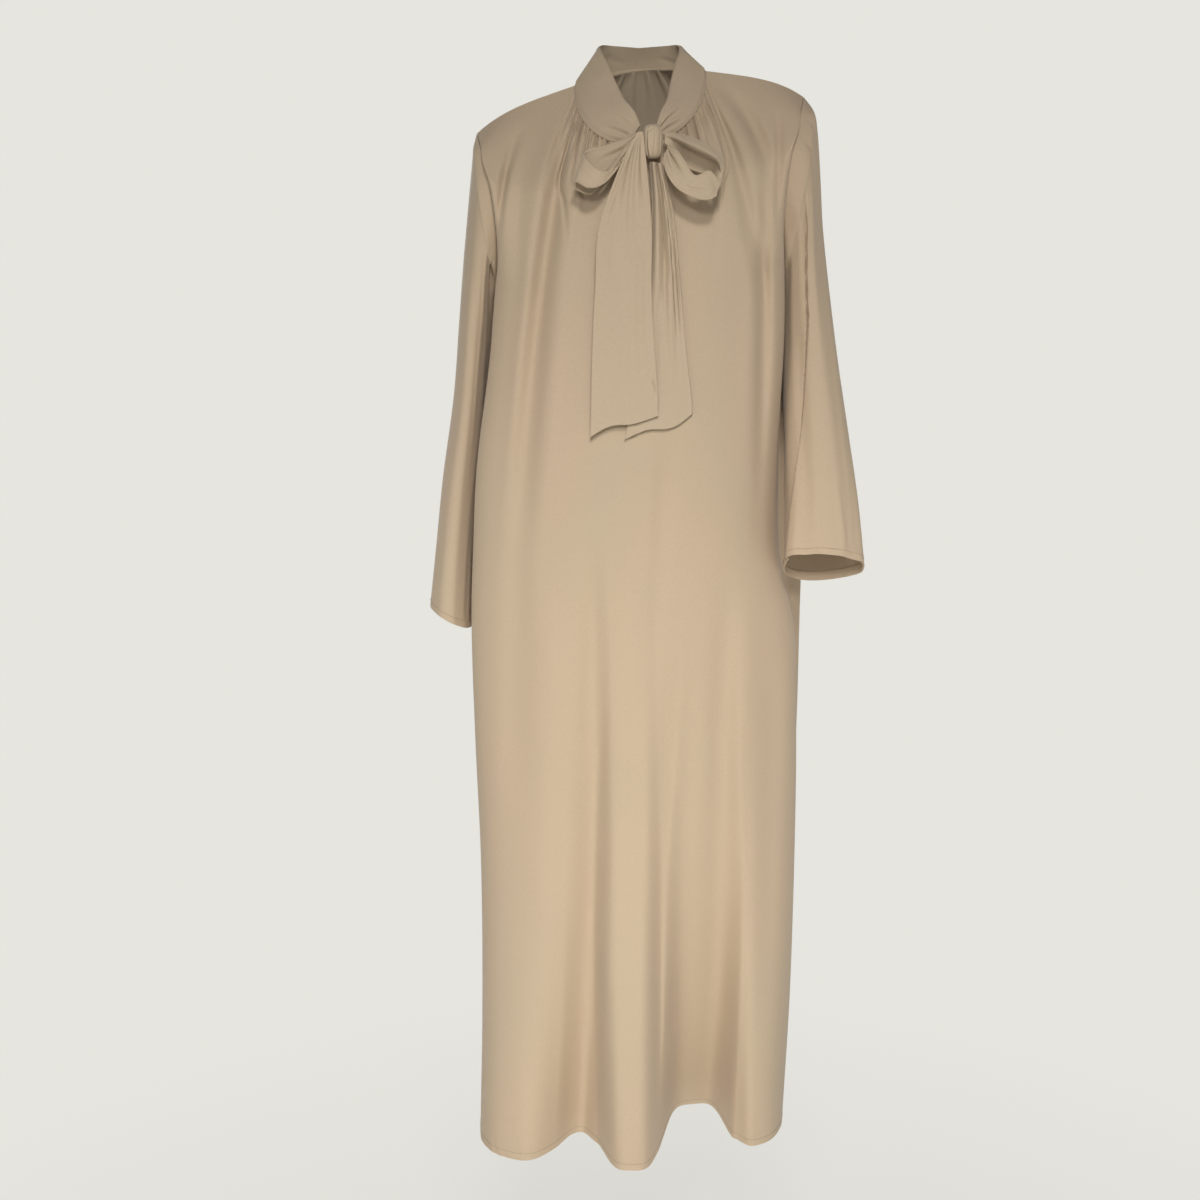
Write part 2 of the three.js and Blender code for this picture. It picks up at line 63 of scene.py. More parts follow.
# ---------------------------------------------------------------- the cut, in millimetres
CLOTH = 1.0  # one layer of crepe, as it looks at an edge
DOUBLED = 2.6  # the folded cloth of the band and the tie
# Each folded ribbon: its thickness, the share of its width that is rounded over at an edge, and
# how much fuller it is beside that.
BAND_FOLD = (DOUBLED, 0.07, 0.1)
LOOP_FOLD = (DOUBLED * 0.8, 0.035, 0.75)
TAIL_FOLD = (DOUBLED * 0.7, 0.02, 0.5)
THINNEST = 0.12  # at the very edge of a rounded fold
SEAM_GAP = 0.03  # each panel stands back this far from its seam line
ARMHOLE_GAP = 0.6
BAND_GAP = -2.0  # the foot of the band laps over the gathers
SEAM_DITCH = 1.6  # the cloth sinks this far where it goes under the band
DITCH_WIDTH = 6
DITCH_ENDS = 0.04  # share across the panel over which the ditch dies away at the neck's sides
HEM_TURNING = 11  # depth of the turned hem
HEM_STEP = 1  # half the height over which the cloth thickens there
HEM_SWELL = 0.9  # how much thicker it gets
RIM_ANGLE = 62  # edges that turn by more than this stay crisp

# The neck seam: an oval that dips at the front and closes in faster at the back.
NECK_HALF_WIDTH = 82
NECK_FRONT = 100
NECK_BACK = 66
NECK_SIDE_HEIGHT = -4
NECK_FRONT_DROP = 82
NECK_DIP = 0.9  # power of that drop, below 1 for a fuller dip
NECK_BACK_RISE = 14
NECK_BACK_PINCH = 0.42
NECK_SHARE = 0.44  # share of a panel's half width that the neck seam takes up
NECK_SLACK = 0.005  # by which a point may miss that share and still be on the shoulder seam

# The shoulder seam, from the neck to the sleeve head, and the tilt of the wearer's shoulders.
SHOULDER_HALF_WIDTH = 204
SHOULDER_SLOPE = 27
SHOULDER_ROUNDING = 17
SHOULDER_BACKWARD = 5
SHOULDER_TILT = 22  # the left tip stands this much above the level line, the right below
TILT_ENDS_AT = 520  # drop where the panels hang level again

# Fullness of the sections at the shoulders and below the arms: below 1 a section is squarer than
# an ellipse.
FULLNESS = {"front": (1.9, 0.72), "back": (1.5, 0.8)}
FULLNESS_TURNS = 0.5  # share of the half width beyond which the shoulders grow fuller
UNDERARM_DROP = 210
HEM_DROP = 1360
SWELL_STARTS = 0.4  # share of the half width from which a panel swells beyond its side edge
SWELL_ENDS = 0.84
FOLDS_FADE_IN = 30  # drop over which folds and creases come up
FOLDS_FADE_OUT = 0.84  # share of the half width from which folds die away to the seam
CREASES_FADE_OUT = 0.93
FOLD_START_WIDTH = 0.6  # share of its width that a fold has at its top
FOLD_OVERRUN = 1.02  # share of its length to which a fold goes on past its end
OUTWARDS = {"front": -1, "back": 1}  # the way each panel faces along y


def table(names, rows):
    """Rows of numbers as one array for each named column."""
    return dict(zip(names.split(), np.array(rows, float).T))


def tables(names, **rows_by_side):
    """A table with the same columns for each panel, or for each hand."""
    return {side: table(names, rows) for side, rows in rows_by_side.items()}


# Sections of the two body panels, from just under the shoulder to the hem.
SECTIONS = table(
    "drop side_z right left front_edge back_edge front front_z back back_z",
    [
        [35, -70, -197, 197, -30, 36, -106, -120, 80, -30],
        [75, -108, -187, 186, -54, 56, -114, -152, 94, -78],
        [120, -155, -180, 179, -56, 58, -120, -192, 103, -134],
        [175, -212, -177, 177, -34, 36, -124, -236, 108, -200],
        [210, -248, -179, 178, 0, 0, -126, -270, 110, -252],
        [300, -340, -184, 178, 0, 0, -129, -350, 111, -345],
        [440, -480, -200, 180, 0, 0, -132, -482, 113, -480],
        [560, -600, -209, 184, 0, 0, -135, -600, 118, -600],
        [650, -690, -214, 200, 0, 0, -137, -690, 122, -690],
        [800, -840, -214, 208, 0, 0, -139, -840, 128, -840],
        [980, -1020, -209, 210, 0, 0, -140, -1020, 134, -1020],
        [1180, -1215, -210, 209, 0, 0, -132, -1215, 138, -1215],
        [1360, -1396, -215, 203, 0, 0, -112, -1392, 138, -1396],
    ],
)
# How far each panel stands out beyond its side edge, because the arms press the side seams in.
SWELLS = table(
    "drop front_right front_left back_right back_left",
    [
        [0, 0, 0, 0, 0],
        [140, 0, 0, 0, 0],
        [210, 7, 7, 3, 3],
        [300, 10, 8, 4, 7],
        [440, 12, 0, 8, 34],
        [560, 10, 0, 8, 40],
        [650, 8, 6, 6, 24],
        [800, 5, 5, 5, 15],
        [1000, 4, 4, 4, 8],
        [1360, 2, 2, 2, 2],
    ],
)

# The largest folds run down a line through x0, x1 and x2 from z0 to z2. Widths are to each side of
# it, depth goes from deep0 to deep2, and a negative depth stands out.
FOLDS = tables(
    "x0 x1 x2 z0 z2 to_right to_left deep0 deep2 fade_in fade_out swell flat",
    front=[
        [-84, -132, -166, -40, -700, 26, 34, 9, 5, 30, 260, 1, 1],
        [84, 128, 158, -24, -300, 20, 16, 5, 9, 20, 120, 1, 1],
        [146, 154, 150, -180, -520, 24, 18, 5, 3, 60, 160, 1, 1],
        [-60, -60, -76, -500, -1400, 36, 28, 6, 32, 200, 0, 1.6, 1],
        [-8, -14, -8, -560, -1400, 46, 44, -3, -68, 200, 0, 2.4, 2],
        [92, 88, 82, -620, -1400, 54, 50, 5, 112, 200, 0, 3, 2.2],
        [158, 160, 164, -700, -1400, 34, 50, -1, -32, 200, 0, 2.4, 1.6],
        [-160, -168, -174, -760, -1400, 76, 84, -1, -66, 200, 0, 2.4, 1.6],
    ],
    back=[
        [-70, -84, -98, -260, -1400, 46, 40, 3, 46, 300, 0, 1.5, 1],
        [40, 34, 24, -220, -1400, 44, 50, 3, 56, 300, 0, 1.6, 1],
        [130, 136, 134, -420, -1400, 40, 38, 2, 38, 300, 0, 1.4, 1],
        [-36, -40, -38, -500, -1400, 40, 40, -1, -22, 300, 0, 1.5, 1.8],
        [84, 84, 82, -560, -1400, 38, 36, -1, -18, 300, 0, 1.5, 1.8],
        [-160, -162, -160, -600, -1400, 40, 40, -1, -22, 300, 0, 1.5, 1.8],
    ],
)

# Smaller creases, each a soft trough along a bowed line from x0, z0 by x1, z1 to x2, z2. A
# negative depth is a ridge. start and end are the shares of its length over which it fades.
CREASES = tables(
    "x0 z0 x1 z1 x2 z2 width deep start end",
    front=[
        # the long valley from the neck on the wearer's right, and the soft rolls beside it
        [-88, -60, -127, -300, -160, -740, 22, 5.4, 0.08, 0.6],
        [-106, -66, -144, -300, -176, -700, 20, -2.6, 0.1, 0.5],
        [-70, -84, -104, -300, -132, -700, 22, -2.4, 0.1, 0.5],
        [-66, -62, -76, -104, -96, -196, 16, 3, 0.1, 0.6],
        [-56, -72, -60, -120, -74, -240, 15, 2.4, 0.1, 0.7],
        [-76, -64, -90, -120, -104, -210, 14, -1.6, 0.1, 0.6],
        # from the gathers on the wearer's left, curving out to the shoulder
        [70, -6, 130, -48, 166, -170, 17, 8, 0.15, 0.45],
        [80, -36, 110, -92, 140, -210, 16, 3, 0.1, 0.5],
        [76, -22, 118, -66, 152, -180, 16, -2.6, 0.2, 0.5],
        [74, -50, 94, -96, 114, -190, 16, 2.6, 0.1, 0.6],
        [68, -58, 82, -120, 92, -250, 16, 1.8, 0.1, 0.7],
        [78, -44, 104, -98, 130, -210, 14, -1.6, 0.2, 0.6],
        # the drape beside each armhole
        [-148, -62, -164, -112, -178, -200, 12, 4.4, 0.3, 0.4],
        [-160, -92, -170, -150, -176, -214, 8, 3, 0.3, 0.4],
        [-134, -80, -150, -170, -152, -330, 18, 2.6, 0.4, 0.6],
        [170, -44, 168, -110, 164, -220, 9, 3.4, 0.2, 0.5],
        [148, -96, 152, -320, 148, -620, 15, 3.4, 0.2, 0.5],
        [164, -140, 166, -300, 160, -560, 18, -1.6, 0.3, 0.5],
        [134, -130, 136, -300, 132, -560, 24, -1.4, 0.3, 0.5],
        [30, -430, 26, -560, 12, -800, 22, 2.2, 0.3, 0.6],
        # long soft falls of the skirt
        [-150, -560, -158, -760, -166, -1100, 32, 2.4, 0.3, 0.5],
        [-112, -600, -116, -860, -120, -1320, 40, -2, 0.3, 0.4],
        [-50, -700, -50, -960, -58, -1150, 30, 2.6, 0.4, 0.4],
        [-56, -1100, -48, -1200, -50, -1370, 26, 2.6, 0.4, 0.1],
        [49, -640, 44, -900, 34, -1350, 38, 2.8, 0.4, 0.2],
        [14, -700, 10, -1000, 4, -1300, 34, -2.2, 0.3, 0.3],
        [110, -560, 104, -870, 104, -1320, 32, 2.8, 0.4, 0.2],
        [136, -620, 134, -800, 134, -1100, 30, -2.2, 0.3, 0.4],
        [170, -700, 172, -900, 168, -1300, 28, 2.4, 0.3, 0.3],
        # slight pressed marks below the tie, and a dent in the skirt
        [-56, -470, 10, -486, 96, -500, 13, 1, 0.4, 0.4],
        [-20, -520, 30, -500, 92, -478, 10, 0.5, 0.4, 0.4],
        [66, -1192, 88, -1190, 112, -1206, 7, 0.9, 0.4, 0.4],
        [74, -1168, 96, -1184, 120, -1216, 9, -0.7, 0.4, 0.4],
        # puckers of the hem on the wearer's right
        [-206, -1372, -202, -1384, -200, -1400, 4, 0.9, 0.5, 0],
        [-192, -1374, -190, -1388, -187, -1404, 4, 0.9, 0.5, 0],
        [-180, -1380, -178, -1392, -176, -1406, 4, 0.7, 0.5, 0],
    ],
    back=[
        [-44, 0, -70, -60, -92, -220, 14, 2, 0.1, 0.6],
        [48, 8, 70, -50, 88, -200, 13, 1.8, 0.1, 0.6],
        [-10, 8, -14, -90, -20, -300, 16, 1.4, 0.1, 0.7],
        [30, 8, 34, -70, 36, -260, 14, 1.2, 0.1, 0.7],
        [-150, -70, -166, -130, -172, -220, 9, 2.2, 0.3, 0.4],
        [160, -50, 168, -120, 170, -210, 9, 2, 0.3, 0.4],
        [-128, -120, -134, -260, -128, -470, 20, 1.6, 0.3, 0.6],
        [112, -100, 120, -260, 118, -520, 22, 1.8, 0.3, 0.6],
        [-120, -620, -126, -900, -130, -1330, 20, 2.4, 0.3, 0.3],
        [4, -600, 0, -900, -6, -1330, 18, 2.2, 0.3, 0.3],
        [62, -560, 60, -860, 56, -1330, 20, -2, 0.3, 0.3],
        [172, -640, 170, -900, 168, -1300, 18, 2, 0.3, 0.3],
        [-60, -300, -20, -330, 50, -310, 22, 0.9, 0.4, 0.4],
    ],
)

# Gathers sewn into the neck seam, by the share across the panel, and how long they run down.
GATHER_STRENGTH = {"front": 1.4, "back": 1.6}
GATHER_RISE = (-2, 4)  # drops between which a gather comes up
GATHER_FULL = 0.05  # share of its length before it starts to fade
GATHER_SPREAD = 1.1  # how much wider it is at its lower end
GATHERS = tables(
    "across width deep length",
    front=[
        [-0.4, 0.02, 2.6, 60],
        [-0.362, 0.012, 4.4, 24],
        [-0.334, 0.013, 5.6, 150],
        [-0.308, 0.01, 4.8, 26],
        [-0.286, 0.01, 5.6, 60],
        [-0.262, 0.01, 4.4, 22],
        [-0.24, 0.011, 5.4, 100],
        [-0.216, 0.01, 4.6, 26],
        [-0.196, 0.01, 5, 40],
        [-0.172, 0.01, 4, 22],
        [-0.146, 0.012, 4.2, 50],
        [-0.112, 0.013, 2.8, 26],
        [0.104, 0.012, 2.6, 24],
        [0.13, 0.01, 4, 26],
        [0.152, 0.01, 4.8, 38],
        [0.174, 0.01, 4.2, 24],
        [0.196, 0.01, 5.4, 60],
        [0.218, 0.01, 4.4, 24],
        [0.242, 0.011, 5.6, 110],
        [0.268, 0.01, 4.6, 26],
        [0.292, 0.01, 4.6, 40],
        [0.32, 0.012, 4.8, 26],
        [0.35, 0.014, 4.4, 150],
        [0.394, 0.02, 3, 60],
    ],
    back=[
        [-0.33, 0.018, 1.6, 90],
        [-0.262, 0.016, 1.8, 70],
        [-0.19, 0.017, 1.6, 120],
        [-0.11, 0.016, 1.4, 80],
        [-0.034, 0.018, 1.6, 100],
        [0.052, 0.016, 1.4, 70],
        [0.128, 0.017, 1.7, 120],
        [0.204, 0.016, 1.5, 80],
        [0.282, 0.018, 1.8, 100],
        [0.352, 0.017, 1.4, 70],
    ],
)

# Rings of each sleeve: the outermost and innermost points, the depth of the ring's middle, half
# its depth, how far its front is tipped up, in degrees, and the power that flattens its front.
# Skew draws the back in towards the outer side and lets it out towards the inner one.
SLEEVES = tables(
    "drop out_x out_z in_x in_z mid_y half tip flat skew",
    right=[
        [16, -208, -84, -180, -262, 2, 58, 0, 1, 0],
        [40, -210, -100, -183, -268, 6, 59, 0, 1, 0],
        [90, -217, -160, -186, -292, 16, 63, 0, 1, 0],
        [140, -224, -222, -188, -322, 24, 66, 0, 1, 0],
        [200, -231, -300, -194, -370, 25, 67, 0, 1, 0],
        [280, -240, -398, -201, -436, 28, 67, 0, 1, 0],
        [370, -256, -506, -210, -522, 28, 66, 0, 0.9, 0],
        [450, -266, -596, -217, -612, 24, 65, 2, 0.85, 0],
        [540, -275, -676, -221, -706, 20, 64, 4, 0.8, 0],
    ],
    left=[
        [16, 216, -42, 180, -240, 2, 58, 0, 1, 0],
        [40, 222, -66, 182, -246, 6, 59, 0, 1, 0],
        [90, 228, -124, 183, -270, 14, 63, 0, 1, 0],
        [140, 233, -184, 183, -298, 18, 64, 0, 1, 0],
        [200, 242, -258, 184, -336, 14, 62, 0, 0.95, 0],
        [280, 253, -350, 185, -394, -8, 57, 4, 0.88, 0.1],
        [370, 266, -446, 186, -470, -36, 51, 12, 0.74, 0.2],
        [450, 277, -531, 185, -538, -60, 47, 21, 0.6, 0.3],
        [530, 284, -612, 181, -604, -82, 46, 32, 0.5, 0.4],
    ],
)
HANDS = {"right": -1, "left": 1}
# Two soft pleats down the front of each sleeve, by their depth on each hand.
PLEATS = table("around width right left", [[0.13, 0.07, 2, 3], [0.34, 0.06, 2, 3]])

# Creases of the sleeves run from around0 at drop0 to around2 at drop2. Width is a share of the
# way round, and a negative depth is a ridge.
SLEEVE_CREASES = tables(
    "around0 drop0 around2 drop2 width deep start end",
    right=[
        # the pleat that falls behind the front of the sleeve from the armhole
        [0.39, 4, 0.42, 260, 0.12, 4, 0.1, 0.8],
        [0.32, 6, 0.345, 420, 0.034, -2.6, 0.1, 0.6],
        [0.06, 4, 0.08, 300, 0.03, 1.2, 0.1, 0.6],
        [0.15, 30, 0.18, 480, 0.07, 1.2, 0.2, 0.5],
        [0.94, 6, 0.9, 300, 0.04, 2.4, 0.1, 0.5],
        [0.8, 10, 0.79, 360, 0.044, 3, 0.1, 0.5],
        [0.7, 60, 0.74, 500, 0.04, 2.4, 0.3, 0.4],
        [0.86, 260, 0.88, 538, 0.04, 2, 0.4, 0.1],
        [0.42, 340, 0.4, 538, 0.04, 2.4, 0.4, 0.1],
    ],
    left=[
        # the tucks of the sleeve head
        [0.18, 30, 0.215, 300, 0.04, -1.6, 0.2, 0.5],
        [0.4, 16, 0.42, 260, 0.05, 3, 0.2, 0.5],
        [0.085, 2, 0.11, 150, 0.022, 2.6, 0.1, 0.5],
        [0.15, 4, 0.16, 110, 0.02, 2.2, 0.1, 0.6],
        [0.06, 260, 0.09, 529, 0.05, 1.6, 0.4, 0.1],
        [0.2, 420, 0.17, 525, 0.03, -1.4, 0.4, 0.2],
        [0.93, 8, 0.9, 280, 0.04, 2.4, 0.1, 0.5],
        [0.81, 12, 0.8, 380, 0.044, 3, 0.1, 0.5],
        [0.69, 80, 0.73, 500, 0.04, 2.4, 0.3, 0.3],
        [0.87, 280, 0.89, 529, 0.04, 2, 0.4, 0.1],
    ],
)

# The fold that the front of each sleeve makes over its inner side: shares of the way round for
# its edge and for the cloth behind it, and how much deeper the slit at the edge is.
TUCK_EDGE = 0.009
TUCK_WIDTH = 0.13
TUCK_SLIT = 0.35
SLEEVE_TUCKS = tables(
    "drop around deep",
    right=[
        [6, 0.355, 0],
        [60, 0.37, 10],
        [150, 0.39, 13],
        [250, 0.425, 9],
        [360, 0.46, 4],
        [450, 0.47, 0],
    ],
    left=[
        [20, 0.225, 0],
        [90, 0.235, 5],
        [200, 0.258, 8],
        [330, 0.342, 9],
        [450, 0.43, 7],
        [525, 0.46, 3],
    ],
)

# The top edge of the neck band, by the angle away from the front.
BAND_TOP = table(
    "away x y z",
    [
        [12, 9, -103, -66],
        [27, 16, -92, -48],
        [45, 25, -74, -34],
        [60, 31, -52, -18],
        [75, 39, -24, 6],
        [90, 48, 6, 29],
        [112, 47, 32, 38],
        [140, 33, 50, 39],
        [180, 0, 58, 37],
    ],
)
BAND_FRONT_SHIFT = 8  # the knot is tied a little towards the wearer's left
BAND_SHIFT_ENDS = (10, 100)  # angles between which that shift dies away
BAND_ROLL = 2  # how far the folded band bows out between seam and edge
BAND_ROLL_STARTS = (20, 60)  # angles between which it comes up
BAND_LEDGE = 1.4  # the pressed seam allowance stands out this far at the foot of the band
BAND_LEDGE_HEIGHT = 0.09  # as a share of the band's height
BAND_LEDGE_FADE = 0.05
# Drag lines of the band towards the knot: angle and height at each end, width as an angle.
BAND_CREASES = table(
    "angle0 height0 angle2 height2 width deep",
    [
        [-14, 0.52, -46, 0.34, 5, 2.8],
        [-13, 0.28, -34, 0.14, 4, 1.6],
        [-15, 0.4, -44, 0.22, 4, -1.6],
        [-17, 0.78, -64, 0.62, 6, 1.8],
        [-70, 0.9, -84, 0.4, 9, 1.2],
        [15, 0.55, 44, 0.3, 5, 2.8],
        [15, 0.78, 56, 0.6, 5, 2],
        [15, 0.66, 50, 0.46, 4, -1.6],
        [14, 0.3, 32, 0.14, 4, 1.6],
        [70, 0.86, 86, 0.46, 9, 1.2],
        [120, 0.2, 160, 0.6, 9, 1.4],
        [-130, 0.7, -165, 0.3, 9, 1.4],
        [-100, 0.3, -128, 0.74, 8, 1],
    ],
)

KNOT_CENTRE = np.array([12.5, -121, -84.5])
KNOT_HALF = np.array([12, 13.5, 20])
KNOT_CAPS = 86  # angle of rise at which the knot closes, above and below
KNOT_SQUARENESS = 3  # 2 for an egg and more for a wrapped band
KNOT_CREASES = table(
    "turn0 rise0 turn2 rise2 width deep",
    [
        [-34, -64, -46, 70, 8, 3.4],
        [-20, -60, -30, 60, 10, -1.2],
        [-4, -74, 20, 66, 8, 1.2],
        [44, -60, 52, 58, 9, 1.2],
        [-36, 30, 24, 52, 8, 1.3],
        [-88, -30, -94, 30, 10, 0.6],
    ],
)

# Each loop is a ribbon that leaves the knot, turns and comes back: its two edges at each step.
LOOPS = tables(
    "step up_x up_y up_z low_x low_y low_z",
    right=[
        [0, -6, -114, -73, -5, -116, -90],
        [1, -24, -114, -82, -22, -117, -108],
        [2, -44, -114, -89, -42, -118, -126],
        [3, -60, -116, -92, -60, -121, -146],
        [4, -69, -124, -97, -79, -130, -140],
        [5, -66, -136, -104, -79, -142, -132],
        [6, -55, -146, -116, -64, -150, -139],
        [7, -44, -143, -119, -49, -146, -136],
        [8, -33, -132, -108, -33, -133, -121],
        [9, -20, -126, -89, -16, -126, -100],
        [10, -8, -121, -77, -4, -121, -90],
    ],
    left=[
        [0, 27, -116, -74, 27, -120, -88],
        [1, 44, -120, -76, 41, -120, -100],
        [2, 60, -128, -81, 57, -125, -116],
        [3, 78, -133, -90, 74, -129, -122],
        [4, 92, -138, -102, 84, -134, -124],
        [5, 96, -138, -118, 87, -142, -130],
        [6, 92, -146, -133, 86, -150, -148],
        [7, 79, -153, -119, 74, -154, -153],
        [8, 62, -153, -124, 57, -154, -149],
        [9, 51, -149, -109, 39, -150, -138],
        [10, 42, -142, -96, 28, -142, -120],
        [11, 32, -129, -89, 27, -129, -100],
    ],
)
# The far side of the left loop rolls forward to a lip and then lies well behind it.
LIP = table("share off", [[0, 0], [0.14, -8], [0.28, -13], [0.37, 6], [1, 12]])
LIP_RISES = (0.2, 1.4)  # steps between which the lip comes up, and dies away
LIP_ENDS = (3.6, 5.2)
# Creases of the loops, by the step along the ribbon and the share of its width.
LOOP_CREASES = tables(
    "step0 share0 step2 share2 width deep",
    right=[
        [0, 0.45, 2.8, 0.3, 0.13, 3.2],
        [0, 0.74, 2.2, 0.66, 0.1, 1.6],
        [10, 0.36, 7.2, 0.46, 0.12, 3.6],
        [10, 0.7, 7.8, 0.78, 0.1, 3],
        [9.6, 0.54, 7, 0.62, 0.08, -1.2],
        [4, 0.6, 6.4, 0.44, 0.16, 1.2],
    ],
    left=[
        [0, 0.24, 4.6, 0.24, 0.3, 2],
        [0, 0.4, 1.6, 0.16, 0.08, -1.6],
        [11, 0.46, 8.6, 0.42, 0.2, 4.6],
        [11, 0.76, 9.4, 0.7, 0.1, 1.4],
        [6.7, 0.1, 5.7, 0.96, 0.09, 1.6],
        [8.4, 0.6, 6.6, 0.72, 0.14, 1.4],
    ],
)

# The free ends of the tie: both edges at each drop, and how far off the front panel they hang.
TAILS = tables(
    "drop right_x left_x off right_z left_z",
    right=[
        [0, -5, 1, 30, -74, -74],
        [16, -15, 3, 33, -90, -90],
        [50, -32, 7, 27, -127, -127],
        [110, -52, 12, 17, -186, -186],
        [180, -56, 12, 12, -252, -252],
        [240, -59, 15, 10, -312, -312],
        [310, -61, 20, 10, -386, -376],
        [360, -62, 21, 10, -437, -409],
    ],
    left=[
        [0, 10, 24, 20, -108, -110],
        [40, 12, 34, 14, -150, -150],
        [90, 11, 42, 9, -204, -202],
        [150, 8, 48, 6, -266, -264],
        [220, -1, 55, 5, -336, -334],
        [290, -14, 62, 5, -408, -388],
        [320, -20, 63, 5, -438, -401],
    ],
)
TAIL_PLEATS = {"right": 0, "left": 2}
TAIL_PLEAT_DEPTH = 8
TAIL_PLEATS_END = 200
# The bottom edge of each end waves: how far it is lifted, at what share across and how widely.
TAIL_WAVES_START = 60  # height above the bottom edge
TAIL_WAVES = {
    "right": {"lift": 7, "share": 0.28, "width": 0.42},
    "left": {"lift": -12, "share": 0.74, "width": 0.5},
}
TAIL_CREASES = tables(
    "share0 drop0 share2 drop2 width deep",
    right=[
        [0.45, 2, 0.66, 150, 0.11, -2.4],
        [0.26, 2, 0.34, 110, 0.09, 2.4],
        [0.66, 2, 0.84, 100, 0.08, 2.4],
        [0.16, 20, 0.12, 120, 0.08, -1.6],
        [0.22, 60, 0.16, 230, 0.14, 1.4],
        [0.8, 120, 0.78, 330, 0.14, 1.8],
        [0.5, 150, 0.46, 330, 0.22, -1.6],
        [0.92, 296, 0.99, 322, 0.035, 1.6],
    ],
    left=[
        [0.4, 4, 0.54, 120, 0.06, 2.4],
        [0.86, 4, 0.9, 215, 0.045, 6],
        [0.96, 30, 0.97, 210, 0.03, -2],
        [0.7, 4, 0.8, 225, 0.05, 6],
        [0.6, 120, 0.72, 270, 0.12, -1.8],
        [0.3, 140, 0.4, 300, 0.12, 1.2],
    ],
)

CREASE_STRENGTH = 1.5  # of the panels' creases
CREASE_SHARPNESS = 1.4  # above 1 a crease is narrower at its bottom than a plain wave
CREASE_FADES = (0.15, 0.5)  # start and end of the creases whose table gives none
BOWED_STEPS = 14  # straight parts that a bowed crease and a straight one are measured in
STRAIGHT_STEPS = 4
# Lengths along each piece, brought to the measure of its creases' widths.
SLEEVE_MEASURE = 0.0008  # from millimetres to shares of the way round
BAND_MEASURE = 40  # from shares of the height to degrees
LOOP_MEASURE = 0.12  # from steps to shares of the width
TAIL_MEASURE = 0.004  # from millimetres to shares of the width

# How finely each piece is made: cells across or round, and down.
PANEL_CELLS = (284, 158)
SLEEVE_CELLS = (150, 160)
PANEL_CROWDING = 0.62  # how strongly the rows draw together towards the top, from 0 to 1
SLEEVE_CROWDING = 0.35
HEM_ROWS = (16, 14, 12.8, 12, 11, 10, 9.2, 8, 6, 4, 2.4, 1.2, 0.5, 0)  # heights above the edge
GATHERED_SHARE = 0.46  # half width of the panel part that is gathered, and its share of the cells
GATHERED_CELLS = 0.68
BAND_CELLS = (240, 36)
LOOP_CELLS = (220, 36)
TAIL_CELLS = (92, 180)
KNOT_CELLS = (120, 72)


# ---------------------------------------------------------------- shared geometry
def smooth(value, low, high):
    """0 below low, 1 above high, and an even S between them."""
    t = np.clip((value - low) / (high - low), 0, 1)
    return t * t * (3 - 2 * t)


def mix(a, b, t):
    """a at 0 and b at 1."""
    return a + (b - a) * t


def stack(x, y, z):
    """Points from their coordinates."""
    return np.stack(np.broadcast_arrays(x, y, z), -1)


def bump(offset):
    """A soft round hill of height 1 over offsets from -1 to 1."""
    return 0.5 + 0.5 * np.cos(np.pi * np.clip(np.abs(offset), 0, 1))


def rows_of(columns):
    """The rows of a table, as one dictionary of values each."""
    return [dict(zip(columns, row)) for row in zip(*columns.values())]


def curve_through(stations, place, at):
    """A smooth curve through place(0), place(1) and so on, at the stations, read at each at."""
    last = len(stations) - 1
    k = np.clip(np.searchsorted(stations, at) - 1, 0, last - 1)

    def station(i):
        return stations[np.clip(i, 0, last)]

    def point(i):
        return place(np.clip(i, 0, last))

    def slope(i):
        return (point(i + 1) - point(i - 1)) / (station(i + 1) - station(i - 1))[..., None]

    span = (station(k + 1) - station(k))[..., None]
    t = (at - station(k))[..., None] / span
    return (
        point(k) * (1 + 2 * t) * (1 - t) ** 2
        + slope(k) * span * t * (1 - t) ** 2
        + point(k + 1) * t * t * (3 - 2 * t)
        + slope(k + 1) * span * t * t * (t - 1)
    )


def read(columns, names, at):
    """Named columns of a table as points, on a smooth curve over its first column."""
    picked = np.stack([columns[name] for name in names.split()], -1)
    return curve_through(next(iter(columns.values())), lambda i: picked[i], at)


def line_trough(x, z, x0, z0, x1, z1, x2, z2, width, start, end, steps=BOWED_STEPS):
    """How deep a point at x, z lies in a trough along a bowed line: 1 on it, 0 past its width."""
    t = np.linspace(0, 1, steps + 1)
    line_x = x0 * (1 - t) * (1 - 2 * t) + x1 * 4 * t * (1 - t) + x2 * t * (2 * t - 1)
    line_z = z0 * (1 - t) * (1 - 2 * t) + z1 * 4 * t * (1 - t) + z2 * t * (2 * t - 1)
    nearest = np.full(np.shape(x), np.inf)
    place = np.zeros(np.shape(x))
    for i in range(steps):
        run_x, run_z = line_x[i + 1] - line_x[i], line_z[i + 1] - line_z[i]
        share = ((x - line_x[i]) * run_x + (z - line_z[i]) * run_z) / (run_x**2 + run_z**2)
        share = np.clip(share, 0, 1)
        away = np.hypot(x - line_x[i] - share * run_x, z - line_z[i] - share * run_z)
        closer = away < nearest
        nearest = np.where(closer, away, nearest)
        place = np.where(closer, (i + share) / steps, place)
    fade = 1.0
    if start:
        fade = fade * smooth(place, 0, start)
    if end:
        fade = fade * (1 - smooth(place, 1 - end, 1))
    return bump(nearest / width) ** CREASE_SHARPNESS * fade


